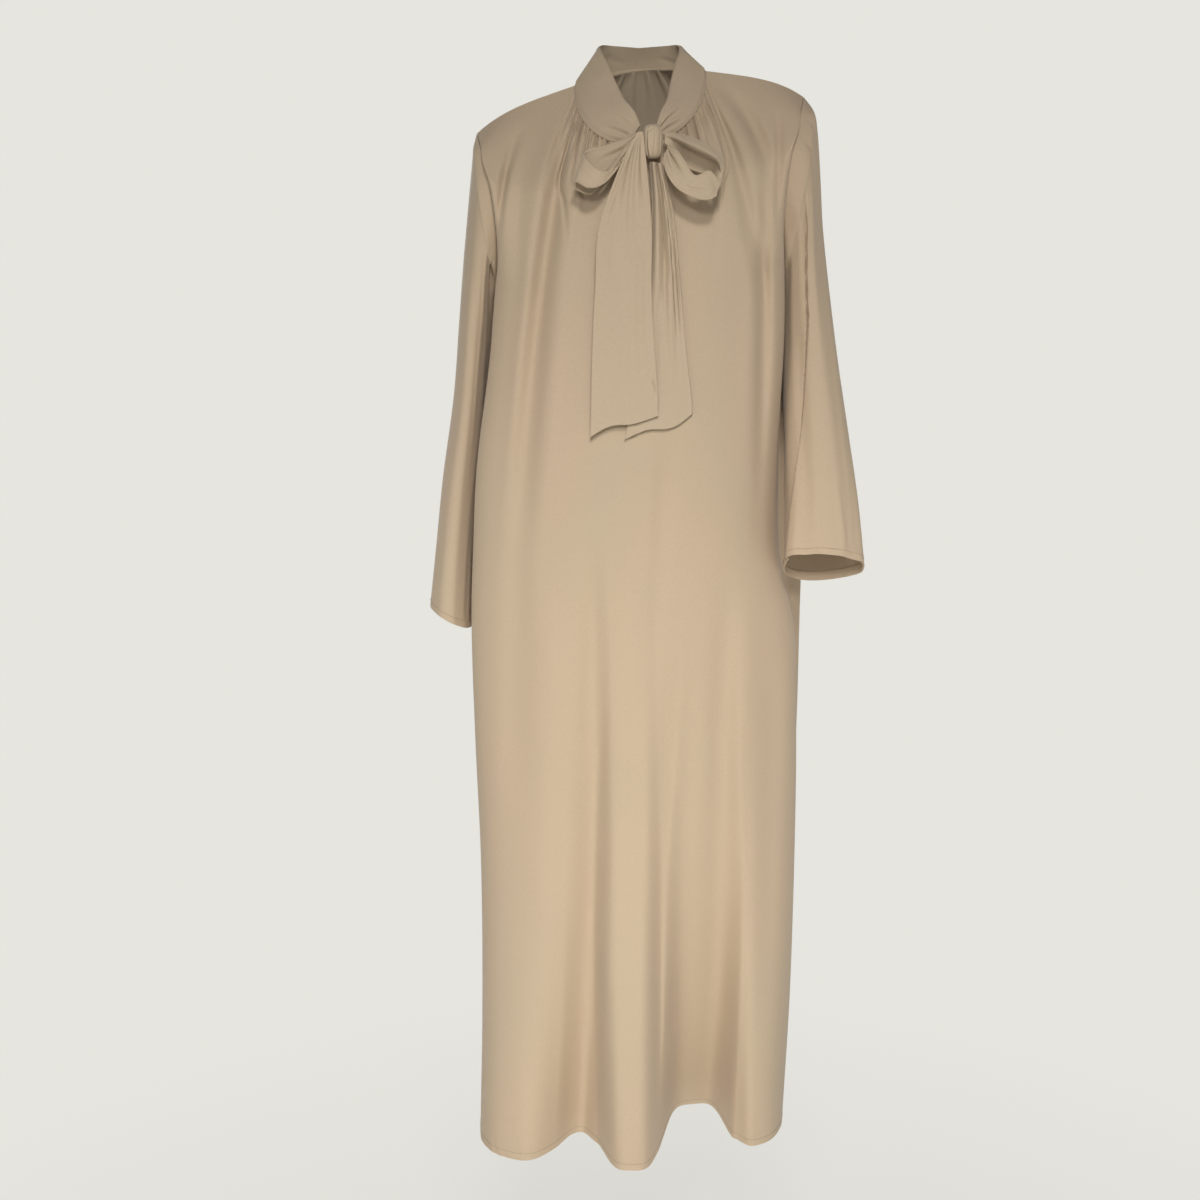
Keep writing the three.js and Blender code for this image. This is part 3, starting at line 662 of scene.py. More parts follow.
def straight_troughs(columns, names, a, b, measure=1.0):
    """The depth of a table of straight creases at a, b, with b brought to a's measure."""
    a0, b0, a2, b2 = names.split()
    start, end = CREASE_FADES
    depth = 0.0
    for row in rows_of(columns):
        ends = row[a0], row[b0] * measure, row[a2], row[b2] * measure
        middle = (ends[0] + ends[2]) / 2, (ends[1] + ends[3]) / 2
        trough = line_trough(
            a, b * measure, *ends[:2], *middle, *ends[2:],
            row["width"], row.get("start", start), row.get("end", end), STRAIGHT_STEPS,
        )
        depth = depth + row["deep"] * trough
    return depth


def grid_normals(grid, ring=False):
    """Unit normals of a grid of points, across times down."""
    if ring:
        across = np.roll(grid, -1, 1) - np.roll(grid, 1, 1)
    else:
        across = np.gradient(grid, axis=1)
    down = np.gradient(grid, axis=0)
    normal = np.cross(across, down)
    return normal / np.maximum(np.linalg.norm(normal, axis=-1, keepdims=True), 1e-9)


def new_piece(name, points, faces, material):
    """A mesh object from points in millimetres."""
    mesh = bpy.data.meshes.new(name)
    mesh.from_pydata((np.asarray(points) * MM).tolist(), [], faces)
    mesh.update()
    mesh.shade_smooth()
    piece = bpy.data.objects.new(name, mesh)
    bpy.context.scene.collection.objects.link(piece)
    piece.data.materials.append(material)
    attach(piece, "root")
    return piece


def cloth(name, grid, wall, material, side=1, ring=False, normals=None, centred=False):
    """A closed sheet of cloth on a grid of points, wall thick, with side 1 or -1 for its face."""
    rows, columns = grid.shape[:2]
    normal = (grid_normals(grid, ring) if normals is None else normals) * side
    wall = np.broadcast_to(wall, (rows, columns))[..., None]
    face_side = grid + normal * (wall / 2 if centred else 0)
    wrong_side = grid - normal * (wall / 2 if centred else wall)
    points = np.concatenate([face_side.reshape(-1, 3), wrong_side.reshape(-1, 3)])
    number = np.arange(rows * columns).reshape(rows, columns)
    if ring:
        number = np.concatenate([number, number[:, :1]], 1)
    back = number + rows * columns
    a, b, c, d = number[:-1, :-1], number[:-1, 1:], number[1:, 1:], number[1:, :-1]
    e, f, g, h = (corner + rows * columns for corner in (a, b, c, d))
    quads = [np.stack([a, b, c, d], -1), np.stack([e, h, g, f], -1)]
    quads.append(np.stack([number[0, :-1], back[0, :-1], back[0, 1:], number[0, 1:]], -1))
    quads.append(np.stack([number[-1, :-1], number[-1, 1:], back[-1, 1:], back[-1, :-1]], -1))
    if not ring:
        quads.append(np.stack([number[:-1, 0], number[1:, 0], back[1:, 0], back[:-1, 0]], -1))
        quads.append(np.stack([number[:-1, -1], back[:-1, -1], back[1:, -1], number[1:, -1]], -1))
    faces = np.concatenate([quad.reshape(-1, 4) for quad in quads])
    if side < 0:
        faces = faces[:, ::-1]
    piece = new_piece(name, points, faces.tolist(), material)
    piece.data.set_sharp_from_angle(angle=math.radians(RIM_ANGLE))
    return piece


def rounded_wall(count, wall, ends, swell):
    """Thickness across a folded ribbon: rounded over at both edges, a little fuller beside them."""
    share = np.linspace(0, 1, count + 1)
    share = 0.5 - 0.5 * np.cos(np.pi * share)  # closer together at the edges
    inset = np.minimum(share, 1 - share)
    t = np.clip(inset / ends, 0, 1)
    round_over = np.sqrt(np.clip(1 - (1 - t) ** 2, 0, 1))
    fuller = 1 + swell * bump((inset - ends) / (2 * ends))
    return share, np.maximum(wall * round_over * fuller, THINNEST)


# ---------------------------------------------------------------- the body panels
def neck_seam(angle):
    """The neck seam at an angle from the front, 90 degrees at the wearer's left side."""
    cosine, sine = np.cos(np.radians(angle)), np.sin(np.radians(angle))
    front = np.maximum(cosine, 0)
    back = np.maximum(-cosine, 0)
    x = NECK_HALF_WIDTH * sine * (1 - NECK_BACK_PINCH * back)
    y = NECK_BACK * back - NECK_FRONT * front
    z = NECK_BACK_RISE * back - NECK_FRONT_DROP * front**NECK_DIP
    return stack(x, y, NECK_SIDE_HEIGHT + z + SHOULDER_TILT * x / SHOULDER_HALF_WIDTH)


def top_edge(side, across):
    """The top edge of a panel: the neck seam in the middle and a shoulder seam at each end."""
    share = np.abs(across)
    angle = np.clip(90 * across / NECK_SHARE, -90, 90)
    neck = neck_seam(angle if side == "front" else 180 - angle)
    t = np.clip((share - NECK_SHARE) / (1 - NECK_SHARE), 0, 1)
    x = np.sign(across) * mix(NECK_HALF_WIDTH, SHOULDER_HALF_WIDTH, t)
    z = NECK_SIDE_HEIGHT - SHOULDER_SLOPE * t - SHOULDER_ROUNDING * t**4
    shoulder = stack(x, SHOULDER_BACKWARD * t, z + SHOULDER_TILT * x / SHOULDER_HALF_WIDTH)
    return np.where((share <= NECK_SHARE)[..., None], neck, shoulder)


def panel_form(side, across, drop):
    """A panel's smooth form before its folds."""
    front = side == "front"
    across, drop = np.broadcast_arrays(np.asarray(across, float), np.asarray(drop, float))
    sine = np.sin(np.pi / 2 * across)
    cosine = np.maximum(np.cos(np.pi / 2 * across), 0)
    outer = smooth(np.abs(across), FULLNESS_TURNS, 1)
    top = top_edge(side, across)

    def place(i):
        row = {name: column[np.maximum(i - 1, 0)] for name, column in SECTIONS.items()}
        x = (row["left"] + row["right"]) / 2 + (row["left"] - row["right"]) / 2 * sine
        settled = smooth(row["drop"], 0, UNDERARM_DROP)
        bow = cosine ** mix(*FULLNESS[side], 1 - (1 - settled) * (1 - outer))
        y = mix(row[side + "_edge"], row[side], bow)
        z = mix(row["side_z"], row[side + "_z"], cosine)
        tilt = SHOULDER_TILT * (1 - smooth(row["drop"], 0, TILT_ENDS_AT))
        section = stack(x, y, z + tilt * x / SHOULDER_HALF_WIDTH)
        return np.where((i == 0)[..., None], top, section)

    point = curve_through(np.concatenate([[0], SECTIONS["drop"]]), place, drop)
    swells = read(SWELLS, f"{side}_right {side}_left", drop)
    share = np.abs(across)
    swell = smooth(share, SWELL_STARTS, SWELL_ENDS) * (1 - smooth(share, SWELL_ENDS, 1))
    point[..., 0] += swell * np.where(across < 0, -swells[..., 0], swells[..., 1])
    # below the underarm the side seam lies in the plane y = 0
    level = np.minimum(point[..., 1], 0) if front else np.maximum(point[..., 1], 0)
    point[..., 1] = np.where(drop >= UNDERARM_DROP, level, point[..., 1])
    return point


def fold_depth(side, x, z):
    """How far the large folds sink the cloth at x, z."""
    depth = 0.0
    for fold in rows_of(FOLDS[side]):
        length = fold["z0"] - fold["z2"]
        t = (fold["z0"] - z) / length
        line = fold["x0"] * (1 - t) * (1 - 2 * t) + fold["x1"] * 4 * t * (1 - t)
        line = line + fold["x2"] * t * (2 * t - 1)
        widen = mix(FOLD_START_WIDTH, 1, np.clip(t * 2, 0, 1))
        offset = (x - line) / (np.where(x < line, fold["to_right"], fold["to_left"]) * widen)
        growing = mix(fold["deep0"], fold["deep2"], np.clip(t, 0, 1) ** fold["swell"])
        begin = smooth(t * length, 0, fold["fade_in"]) if fold["fade_in"] else 1
        end = smooth((1 - t) * length, 0, fold["fade_out"]) if fold["fade_out"] else 1
        inside = (t > 0) & (t < FOLD_OVERRUN) & (np.abs(offset) < 1)
        shape = bump(np.abs(np.clip(offset, -1, 1)) ** fold["flat"])
        depth = depth + np.where(inside, growing * begin * end * shape, 0)
    return depth


def crease_depth(side, x, z):
    """How far the small creases sink the cloth at x, z."""
    depth = 0.0
    for crease in rows_of(CREASES[side]):
        deep = crease.pop("deep")
        depth = depth + deep * line_trough(x, z, **crease)
    return CREASE_STRENGTH * depth


def gather_depth(side, across, drop):
    """How far the gathers under the neck seam sink the cloth."""
    depth = 0.0
    for gather in rows_of(GATHERS[side]):
        below = drop / gather["length"]
        width = gather["width"] * (1 + GATHER_SPREAD * below)
        fade = smooth(drop, *GATHER_RISE) * (1 - smooth(below, GATHER_FULL, 1))
        depth = depth + gather["deep"] * fade * bump((across - gather["across"]) / width)
    sewn = 1 - smooth(np.abs(across), NECK_SHARE - DITCH_ENDS, NECK_SHARE)
    return GATHER_STRENGTH[side] * depth + SEAM_DITCH * sewn * bump(drop / DITCH_WIDTH)


def panel_point(side, across, drop, fine=True):
    """A point of a panel's right side, with its folds."""
    point = panel_form(side, across, drop)
    share = np.abs(across)
    rising = smooth(drop, 0, FOLDS_FADE_IN)
    x, z = point[..., 0].copy(), point[..., 2].copy()
    depth = rising * (1 - smooth(share, FOLDS_FADE_OUT, 1)) * fold_depth(side, x, z)
    point[..., 1] -= OUTWARDS[side] * (depth - SEAM_GAP)
    if fine:
        depth = crease_depth(side, x, z) * rising * (1 - smooth(share, CREASES_FADE_OUT, 1))
        point[..., 1] -= OUTWARDS[side] * (depth + gather_depth(side, across, drop))
    return point


def front_depth(x, z):
    """The depth of the front panel's cloth at x, z, found by walking over the panel."""
    steps = 12
    stride = 0.6
    across = x / SHOULDER_HALF_WIDTH
    drop = np.maximum(-z - NECK_FRONT_DROP / 2, 0)
    for _ in range(steps):
        point = panel_point("front", across, drop, fine=False)
        across = across + stride * (x - point[..., 0]) / SHOULDER_HALF_WIDTH
        drop = np.maximum(drop + point[..., 2] - z, 0)
    return panel_point("front", across, drop, fine=False)[..., 1]


def hemmed_rows(length, rows, crowding):
    """Drops of a piece's rows, closer together at its top and its turned hem, and its wall."""
    share = np.linspace(0, 1, rows + 1)
    upper = (length - HEM_ROWS[0]) * mix(share, share**2, crowding)
    drop = np.concatenate([upper[:-1], length - np.array(HEM_ROWS)])[:, None]
    hem = 1 - smooth(length - drop, HEM_TURNING - HEM_STEP, HEM_TURNING + HEM_STEP)
    return drop, CLOTH + HEM_SWELL * hem


def body_panel(side, material):
    """The front or the back, cut in one from the shoulder seam to the hem."""
    columns, rows = PANEL_CELLS
    # columns and rows are closer together over the gathers
    cells = [-1, -GATHERED_CELLS, GATHERED_CELLS, 1]
    shares = [-1, -GATHERED_SHARE, GATHERED_SHARE, 1]
    across = np.interp(np.linspace(-1, 1, columns + 1), cells, shares)[None, :]
    drop, wall = hemmed_rows(HEM_DROP, rows, PANEL_CROWDING)
    grid = panel_point(side, across, drop)
    # at the seams the wall runs along the seam's plane, so that the two panels meet
    normals = grid_normals(grid)
    normals[:, [0, -1], 1] = 0
    normals[0, np.abs(across[0]) >= NECK_SHARE - NECK_SLACK, 1] = 0
    normals /= np.linalg.norm(normals, axis=-1, keepdims=True)
    return cloth(side + "_cloth", grid, wall, material, side=OUTWARDS[side], normals=normals)


# ---------------------------------------------------------------- the sleeves
def tucked_depth(name, around, drop):
    """How far the inner side of a sleeve lies behind the edge of the fold its front makes."""
    tuck = SLEEVE_TUCKS[name]
    behind = around - np.interp(drop, tuck["drop"], tuck["around"])
    deep = np.interp(drop, tuck["drop"], tuck["deep"])
    stepped = smooth(behind, 0, TUCK_EDGE) * (1 - smooth(behind, TUCK_EDGE, TUCK_WIDTH))
    return deep * (stepped + TUCK_SLIT * bump((behind - TUCK_EDGE) / TUCK_EDGE))


def armhole_edge(hand, around):
    """The edge of the armhole, once round: 0 at the shoulder, half way at the underarm."""
    front = around <= 0.5
    share = np.where(front, around * 2, (1 - around) * 2)
    across = np.full(np.shape(around), float(hand))
    edges = [panel_form(side, across, share * UNDERARM_DROP) for side in ("front", "back")]
    point = np.where(front[..., None], edges[0], edges[1])
    point[..., 0] += hand * ARMHOLE_GAP
    return point


def sleeve_point(name, around, drop):
    """A point of a sleeve's right side."""
    rings = SLEEVES[name]
    around, drop = np.broadcast_arrays(around, drop)
    turn = 2 * np.pi * around
    top = armhole_edge(HANDS[name], around)
    inset = 0.0
    for pleat in rows_of(PLEATS):
        inset = inset + pleat[name] * bump((around - pleat["around"]) / pleat["width"])
    creases = straight_troughs(
        SLEEVE_CREASES[name], "around0 drop0 around2 drop2", around, drop, SLEEVE_MEASURE
    )
    inset = inset + creases + tucked_depth(name, around, drop)

    def place(i):
        row = {key: column[np.maximum(i - 1, 0)] for key, column in rings.items()}
        middle = stack(
            (row["out_x"] + row["in_x"]) / 2, row["mid_y"], (row["out_z"] + row["in_z"]) / 2
        )
        reach = stack((row["out_x"] - row["in_x"]) / 2, 0, (row["out_z"] - row["in_z"]) / 2)
        tip = np.radians(row["tip"])
        forward = stack(0, -row["half"] * np.cos(tip), row["half"] * np.sin(tip))
        pull = (1 - inset / row["half"])[..., None]
        sine = np.sin(turn)
        behind = sine * (1 - row["skew"] * np.cos(turn))
        rise = np.where(sine > 0, np.abs(sine) ** row["flat"], behind)
        ring = middle + (reach * np.cos(turn)[..., None] + forward * rise[..., None]) * pull
        return np.where((i == 0)[..., None], top, ring)

    return curve_through(np.concatenate([[0], rings["drop"]]), place, drop)


def sleeve(name, material):
    """A sleeve, set into its armhole and open at the turned cuff."""
    columns, rows = SLEEVE_CELLS
    around = (np.arange(columns) / columns)[None, :]
    drop, wall = hemmed_rows(SLEEVES[name]["drop"][-1], rows, SLEEVE_CROWDING)
    grid = sleeve_point(name, around, drop)
    normals = grid_normals(grid, ring=True)
    normals[0, :, 0] = 0
    normals /= np.linalg.norm(normals, axis=-1, keepdims=True)
    return cloth(
        f"sleeve_{name}_cloth", grid, wall, material, side=HANDS[name], ring=True, normals=normals
    )


# ---------------------------------------------------------------- the band and the bow
def band_point(angle, height):
    """A point of the band's outer face, from the seam at height 0 to the top edge at 1."""
    hand = np.where(angle < 0, -1.0, 1.0)
    away = np.abs(angle)
    front = 1 - smooth(away, *BAND_SHIFT_ENDS)
    top = read(BAND_TOP, "x y z", away)
    top[..., 0] = top[..., 0] * hand + BAND_FRONT_SHIFT * front
    foot = neck_seam(angle)
    foot[..., 2] += BAND_GAP
    point = mix(foot, top, height[..., None])
    roll = BAND_ROLL * np.sin(np.pi * height) * smooth(away, *BAND_ROLL_STARTS)
    point[..., 0] += roll * np.sin(np.radians(angle))
    point[..., 1] -= roll * np.cos(np.radians(angle))
    return point


def neck_band(material):
    """The folded stand band, with its pressed seam at the foot and a soft fold at the top."""
    columns, rows = BAND_CELLS
    start = BAND_TOP["away"][0]
    angle = np.linspace(start, 360 - start, columns + 1)
    angle = np.where(angle > 180, angle - 360, angle)[None, :]
    height, wall = rounded_wall(rows, *BAND_FOLD)
    height, wall = height[::-1, None], wall[::-1, None]
    angle, height = np.broadcast_arrays(angle, height)
    grid = band_point(angle, height)
    normals = grid_normals(grid)
    ends = "angle0 height0 angle2 height2"
    depth = straight_troughs(BAND_CREASES, ends, angle, height, BAND_MEASURE)
    ledge_top = BAND_LEDGE_HEIGHT + BAND_LEDGE_FADE
    ledge = BAND_LEDGE * (1 - smooth(height, BAND_LEDGE_HEIGHT, ledge_top))
    grid = grid + normals * (ledge - depth)[..., None]
    normals[-1, :, 2] = np.maximum(normals[-1, :, 2], 0)
    return cloth("neck_band_cloth", grid, wall, material, normals=normals)


def knot(material):
    """The knot: one wrap of the tie round the other, drawn into creases."""
    turns, rises = KNOT_CELLS
    turn = (np.arange(turns) * 360 / turns - 180)[None, :]
    rise = np.linspace(-KNOT_CAPS, KNOT_CAPS, rises + 1)[:, None]
    turn, rise = np.broadcast_arrays(turn, rise)
    depth = straight_troughs(KNOT_CREASES, "turn0 rise0 turn2 rise2", turn, rise)
    level, up = np.cos(np.radians(rise)), np.sin(np.radians(rise))
    power = KNOT_SQUARENESS
    reach = 1 / (np.abs(level) ** power + np.abs(up) ** power) ** (1 / power)
    out_x = level * np.sin(np.radians(turn)) * reach
    out_y = -level * np.cos(np.radians(turn)) * reach
    points = KNOT_CENTRE + stack(out_x, out_y, up * reach) * (KNOT_HALF - depth[..., None])
    number = np.arange(turns * (rises + 1)).reshape(rises + 1, turns)
    number = np.concatenate([number, number[:, :1]], 1)
    quads = np.stack([number[:-1, :-1], number[:-1, 1:], number[1:, 1:], number[1:, :-1]], -1)
    caps = [number[0, :-1][::-1].tolist(), number[-1, :-1].tolist()]
    faces = quads.reshape(-1, 4).tolist() + caps
    return new_piece("knot_cloth", points.reshape(-1, 3), faces, material)


def loop(name, material):
    """A loop of the bow: a folded ribbon that leaves the knot, turns and comes back."""
    steps, widths = LOOP_CELLS
    edges = LOOPS[name]
    share, wall = rounded_wall(widths, *LOOP_FOLD)
    step = np.linspace(0, edges["step"][-1], steps + 1)[None, :]
    share, wall = share[:, None], wall[:, None]
    upper = read(edges, "up_x up_y up_z", step)
    lower = read(edges, "low_x low_y low_z", step)
    grid = mix(upper, lower, share[..., None])
    step, share = np.broadcast_arrays(step, share)
    ends = "share0 step0 share2 step2"
    depth = straight_troughs(LOOP_CREASES[name], ends, share, step, LOOP_MEASURE)
    grid = grid - grid_normals(grid) * depth[..., None]
    if name == "left":
        behind = np.interp(share, LIP["share"], LIP["off"])
        grid[..., 1] += behind * smooth(step, *LIP_RISES) * (1 - smooth(step, *LIP_ENDS))
    return cloth(f"loop_{name}_cloth", grid, wall, material, centred=True)


def tail(name, material):
    """A free end of the tie, hanging over the front."""
    columns, rows = TAIL_CELLS
    edges = TAILS[name]
    share, wall = rounded_wall(columns, *TAIL_FOLD)
    drop = np.linspace(0, edges["drop"][-1], rows + 1)[:, None]
    share = share[None, :]
    right = read(edges, "right_x off right_z", drop)
    left = read(edges, "left_x off left_z", drop)
    grid = mix(right, left, share[..., None])
    wave = TAIL_WAVES[name]
    rising = smooth(drop, edges["drop"][-1] - TAIL_WAVES_START, edges["drop"][-1])
    grid[..., 2] += wave["lift"] * bump((share - wave["share"]) / wave["width"]) * rising
    off = grid[..., 1].copy()
    grid[..., 1] = front_depth(grid[..., 0], grid[..., 2]) - off
    drop, share = np.broadcast_arrays(drop, share)
    pleats = TAIL_PLEATS[name]
    if pleats:
        fading = 1 - smooth(drop, TAIL_PLEATS_END / 2, TAIL_PLEATS_END)
        grid[..., 1] += TAIL_PLEAT_DEPTH / 2 * np.cos(2 * np.pi * pleats * share) * fading
    ends = "share0 drop0 share2 drop2"
    grid[..., 1] += straight_troughs(TAIL_CREASES[name], ends, share, drop, TAIL_MEASURE)
    return cloth(f"tail_{name}_cloth", grid, wall[None, :], material, centred=True)


# ---------------------------------------------------------------- stitches
STITCH_INSET = 9  # of the hem's stitch line from the edge
STITCH_LENGTH = 2.6
STITCH_PITCH = 3.5
STITCH_RADIUS = 0.32
STITCH_SIDES = 6
# Rings of a stitch as shares of its length, and their heights: its ends dip into the cloth.
STITCH_RINGS = np.array([-0.5, -0.34, 0, 0.34, 0.5])
STITCH_LIFTS = np.array([-0.25, 0.12, 0.2, 0.12, -0.25])
STITCHED_SHARE = 0.99  # of a panel's half width
HEM_SAMPLES = 500
CUFF_SAMPLES = 320


def stitches(name, path, normals, material):
    """A row of short threads along a path of points, lying on the cloth."""
    steps = np.linalg.norm(np.diff(path, axis=0), axis=1)
    reached = np.concatenate([[0], np.cumsum(steps)])
    middles = np.arange(STITCH_PITCH, reached[-1] - STITCH_PITCH, STITCH_PITCH)

    def along(values, at):
        return np.stack([np.interp(at, reached, values[:, k]) for k in range(3)], -1)

    points, faces = [], []
    rings = len(STITCH_RINGS)
    angles = np.arange(STITCH_SIDES) * 2 * np.pi / STITCH_SIDES
    for middle in middles:
        centre = along(path, middle + STITCH_RINGS * STITCH_LENGTH)
        up = along(normals, np.full(rings, middle))
        forward = centre[-1] - centre[0]
        forward /= np.linalg.norm(forward)
        sideways = np.cross(up, forward)
        base = len(points)
        for k in range(rings):
            axis = centre[k] + up[k] * STITCH_LIFTS[k]
            for angle in angles:
                spoke = np.cos(angle) * sideways[k] + np.sin(angle) * up[k]
                points.append(axis + spoke * STITCH_RADIUS)
        for k in range(rings - 1):
            for s in range(STITCH_SIDES):
                t = (s + 1) % STITCH_SIDES
                row, above = base + k * STITCH_SIDES, base + (k + 1) * STITCH_SIDES
                faces.append([row + s, row + t, above + t, above + s])
        faces.append([base + s for s in reversed(range(STITCH_SIDES))])
        faces.append([base + (rings - 1) * STITCH_SIDES + s for s in range(STITCH_SIDES)])
    return new_piece(name, points, faces, material)


def stitch_drops(length):
    """Two drops a millimetre apart, the second on the stitch line of a hem."""
    return np.array([length - STITCH_INSET - 1, length - STITCH_INSET])[:, None]


def hem_stitches(side, material):
    """The stitch line of a panel's hem."""
    across = np.linspace(-STITCHED_SHARE, STITCHED_SHARE, HEM_SAMPLES)
    grid = panel_point(side, across[None, :], stitch_drops(HEM_DROP))
    normals = grid_normals(grid)[1] * OUTWARDS[side]
    return stitches(side + "_hem_stitches", grid[1], normals, material)


def cuff_stitches(name, material):
    """The stitch line of a cuff."""
    around = np.linspace(0, 1, CUFF_SAMPLES)
    grid = sleeve_point(name, around[None, :], stitch_drops(SLEEVES[name]["drop"][-1]))
    normals = grid_normals(grid)[1] * HANDS[name]
    return stitches(f"cuff_{name}_stitches", grid[1], normals, material)


# ---------------------------------------------------------------- finishes
def node_of(tree, kind, place=(0, 0), **values):
    """A shader node with its inputs set by name, _ for a space, and its other settings."""
    node = tree.nodes.new(kind)
    node.location = place
    for key, value in values.items():
        socket = node.inputs.get(key.replace("_", " "))
        if socket is None:
            setattr(node, key, value)
        else:
            socket.default_value = value
    return node


def wire(tree, *joins):
    """Joins sockets; each join is a node, its output, the next node and its input."""
    for source, output, target, entry in joins:
        tree.links.new(source.outputs[output], target.inputs[entry])


def group_of(name, inputs, outputs):
    """An empty shader node group with named number inputs and its outputs by kind."""
    group = bpy.data.node_groups.new(name, "ShaderNodeTree")
    for label, kind, value in inputs:
        socket = group.interface.new_socket(label, in_out="INPUT", socket_type=kind)
        socket.default_value = value
    for label, kind in outputs:
        group.interface.new_socket(label, in_out="OUTPUT", socket_type=kind)
    start = group.nodes.new("NodeGroupInput")
    end = group.nodes.new("NodeGroupOutput")
    start.location, end.location = (-900, 0), (700, 0)
    return group, start, end


def crepe_grain_group():
    """The pebbled grain of crepe: fine crossed yarns, broken up by their twist."""
    tree, start, end = group_of(
        "crepe grain",
        [("Yarns per metre", "NodeSocketFloat", 1500.0), ("Twist", "NodeSocketFloat", 0.6)],
        [("Height", "NodeSocketFloat"), ("Hollows", "NodeSocketFloat")],
    )
    place = node_of(tree, "ShaderNodeTexCoord", (-1100, 200))
    pebbles = node_of(tree, "ShaderNodeTexNoise", (-600, 200), Detail=3.0, Roughness=0.62)
    twist = node_of(tree, "ShaderNodeTexNoise", (-600, -120), Detail=2.0, Roughness=0.5)
    quarter = node_of(tree, "ShaderNodeMath", (-760, -120), operation="MULTIPLY")
    quarter.inputs[1].default_value = 0.28
    cells = node_of(tree, "ShaderNodeTexVoronoi", (-600, 480))
    wire(
        tree,
        (place, "Object", pebbles, "Vector"),
        (place, "Object", twist, "Vector"),
        (place, "Object", cells, "Vector"),
        (start, "Yarns per metre", pebbles, "Scale"),
        (start, "Yarns per metre", cells, "Scale"),
        (start, "Yarns per metre", quarter, 0),
        (quarter, 0, twist, "Scale"),
    )
    broken = node_of(tree, "ShaderNodeMath", (-300, -60), operation="MULTIPLY")
    wire(tree, (twist, "Fac", broken, 0), (start, "Twist", broken, 1))
    height = node_of(tree, "ShaderNodeMath", (-60, 120), operation="ADD")
    wire(tree, (pebbles, "Fac", height, 0), (broken, 0, height, 1))
    sunk = node_of(tree, "ShaderNodeMath", (180, 240), operation="MULTIPLY_ADD")
    sunk.inputs[1].default_value = 0.35
    wire(tree, (cells, "Distance", sunk, 0), (height, 0, sunk, 2))
    # 0 in the grain's hollows and 1 on its tops: it darkens the hollows as painted shade and sets
    # the roughness
    hollows = node_of(tree, "ShaderNodeMapRange", (420, -80), From_Min=0.45, From_Max=1.1)
    wire(
        tree,
        (height, 0, hollows, "Value"),
        (sunk, 0, end, "Height"),
        (hollows, "Result", end, "Hollows"),
    )
    return tree


def mottling_and_shade_group():
    """Broad uneven patches of warmer or cooler dye, as one colour, with painted shade that darkens
    it towards the top.
    """
    tree, start, end = group_of(
        "soft patches and painted shade",
        [
            ("Cloth", "NodeSocketColor", (0.6, 0.5, 0.4, 1)),
            ("Warm", "NodeSocketColor", (0.65, 0.5, 0.4, 1)),
            ("Cool", "NodeSocketColor", (0.55, 0.5, 0.42, 1)),
            ("Patches per metre", "NodeSocketFloat", 7.0),
            ("Strength", "NodeSocketFloat", 0.38),
            # painted shade: the share of the colour kept at the top
            ("Painted shoulder shade", "NodeSocketFloat", 0.80),
        ],
        [("Color", "NodeSocketColor")],
    )
    place = node_of(tree, "ShaderNodeTexCoord", (-1100, 200))
    # patches run down with the cloth
    fall = node_of(tree, "ShaderNodeMapping", (-900, 200), Scale=(1, 1, 0.45))
    wire(tree, (place, "Object", fall, "Vector"))
    previous = start, "Cloth"
    for offset, label in ((0.0, "Warm"), (11.0, "Cool")):
        shift = node_of(tree, "ShaderNodeVectorMath", (-700, 200 - offset * 20), operation="ADD")
        shift.inputs[1].default_value = (offset, offset * 0.7, -offset)
        patches = node_of(tree, "ShaderNodeTexNoise", (-500, 200 - offset * 20), Detail=2.5)
        spread = node_of(
            tree, "ShaderNodeMapRange", (-300, 200 - offset * 20),
            From_Min=0.46, From_Max=0.72,
        )
        amount = node_of(tree, "ShaderNodeMath", (-100, 200 - offset * 20), operation="MULTIPLY")
        blend = node_of(tree, "ShaderNodeMix", (120, 200 - offset * 20), data_type="RGBA")
        wire(
            tree,
            (fall, "Vector", shift, 0),
            (shift, "Vector", patches, "Vector"),
            (start, "Patches per metre", patches, "Scale"),
            (patches, "Fac", spread, "Value"),
            (spread, "Result", amount, 0),
            (start, "Strength", amount, 1),
            (amount, 0, blend, "Factor"),
            (*previous, blend, "A"),
            (start, label, blend, "B"),
        )
        previous = blend, "Result"
    # painted shade: the colour is scaled darker over the shoulders than in the skirt
    split = node_of(tree, "ShaderNodeSeparateXYZ", (-300, -300))
    height = node_of(
        tree, "ShaderNodeMapRange", (-100, -300), interpolation_type="SMOOTHSTEP",
        From_Min=-0.75, From_Max=0.0, To_Min=1.0,
    )
    top_shaded = node_of(tree, "ShaderNodeVectorMath", (320, 200), operation="SCALE")
    wire(
        tree,
        (place, "Object", split, 0),
        (split, "Z", height, "Value"),
        (start, "Painted shoulder shade", height, "To Max"),
        (*previous, top_shaded, 0),
        (height, "Result", top_shaded, "Scale"),
        (top_shaded, "Vector", end, "Color"),
    )
    return tree


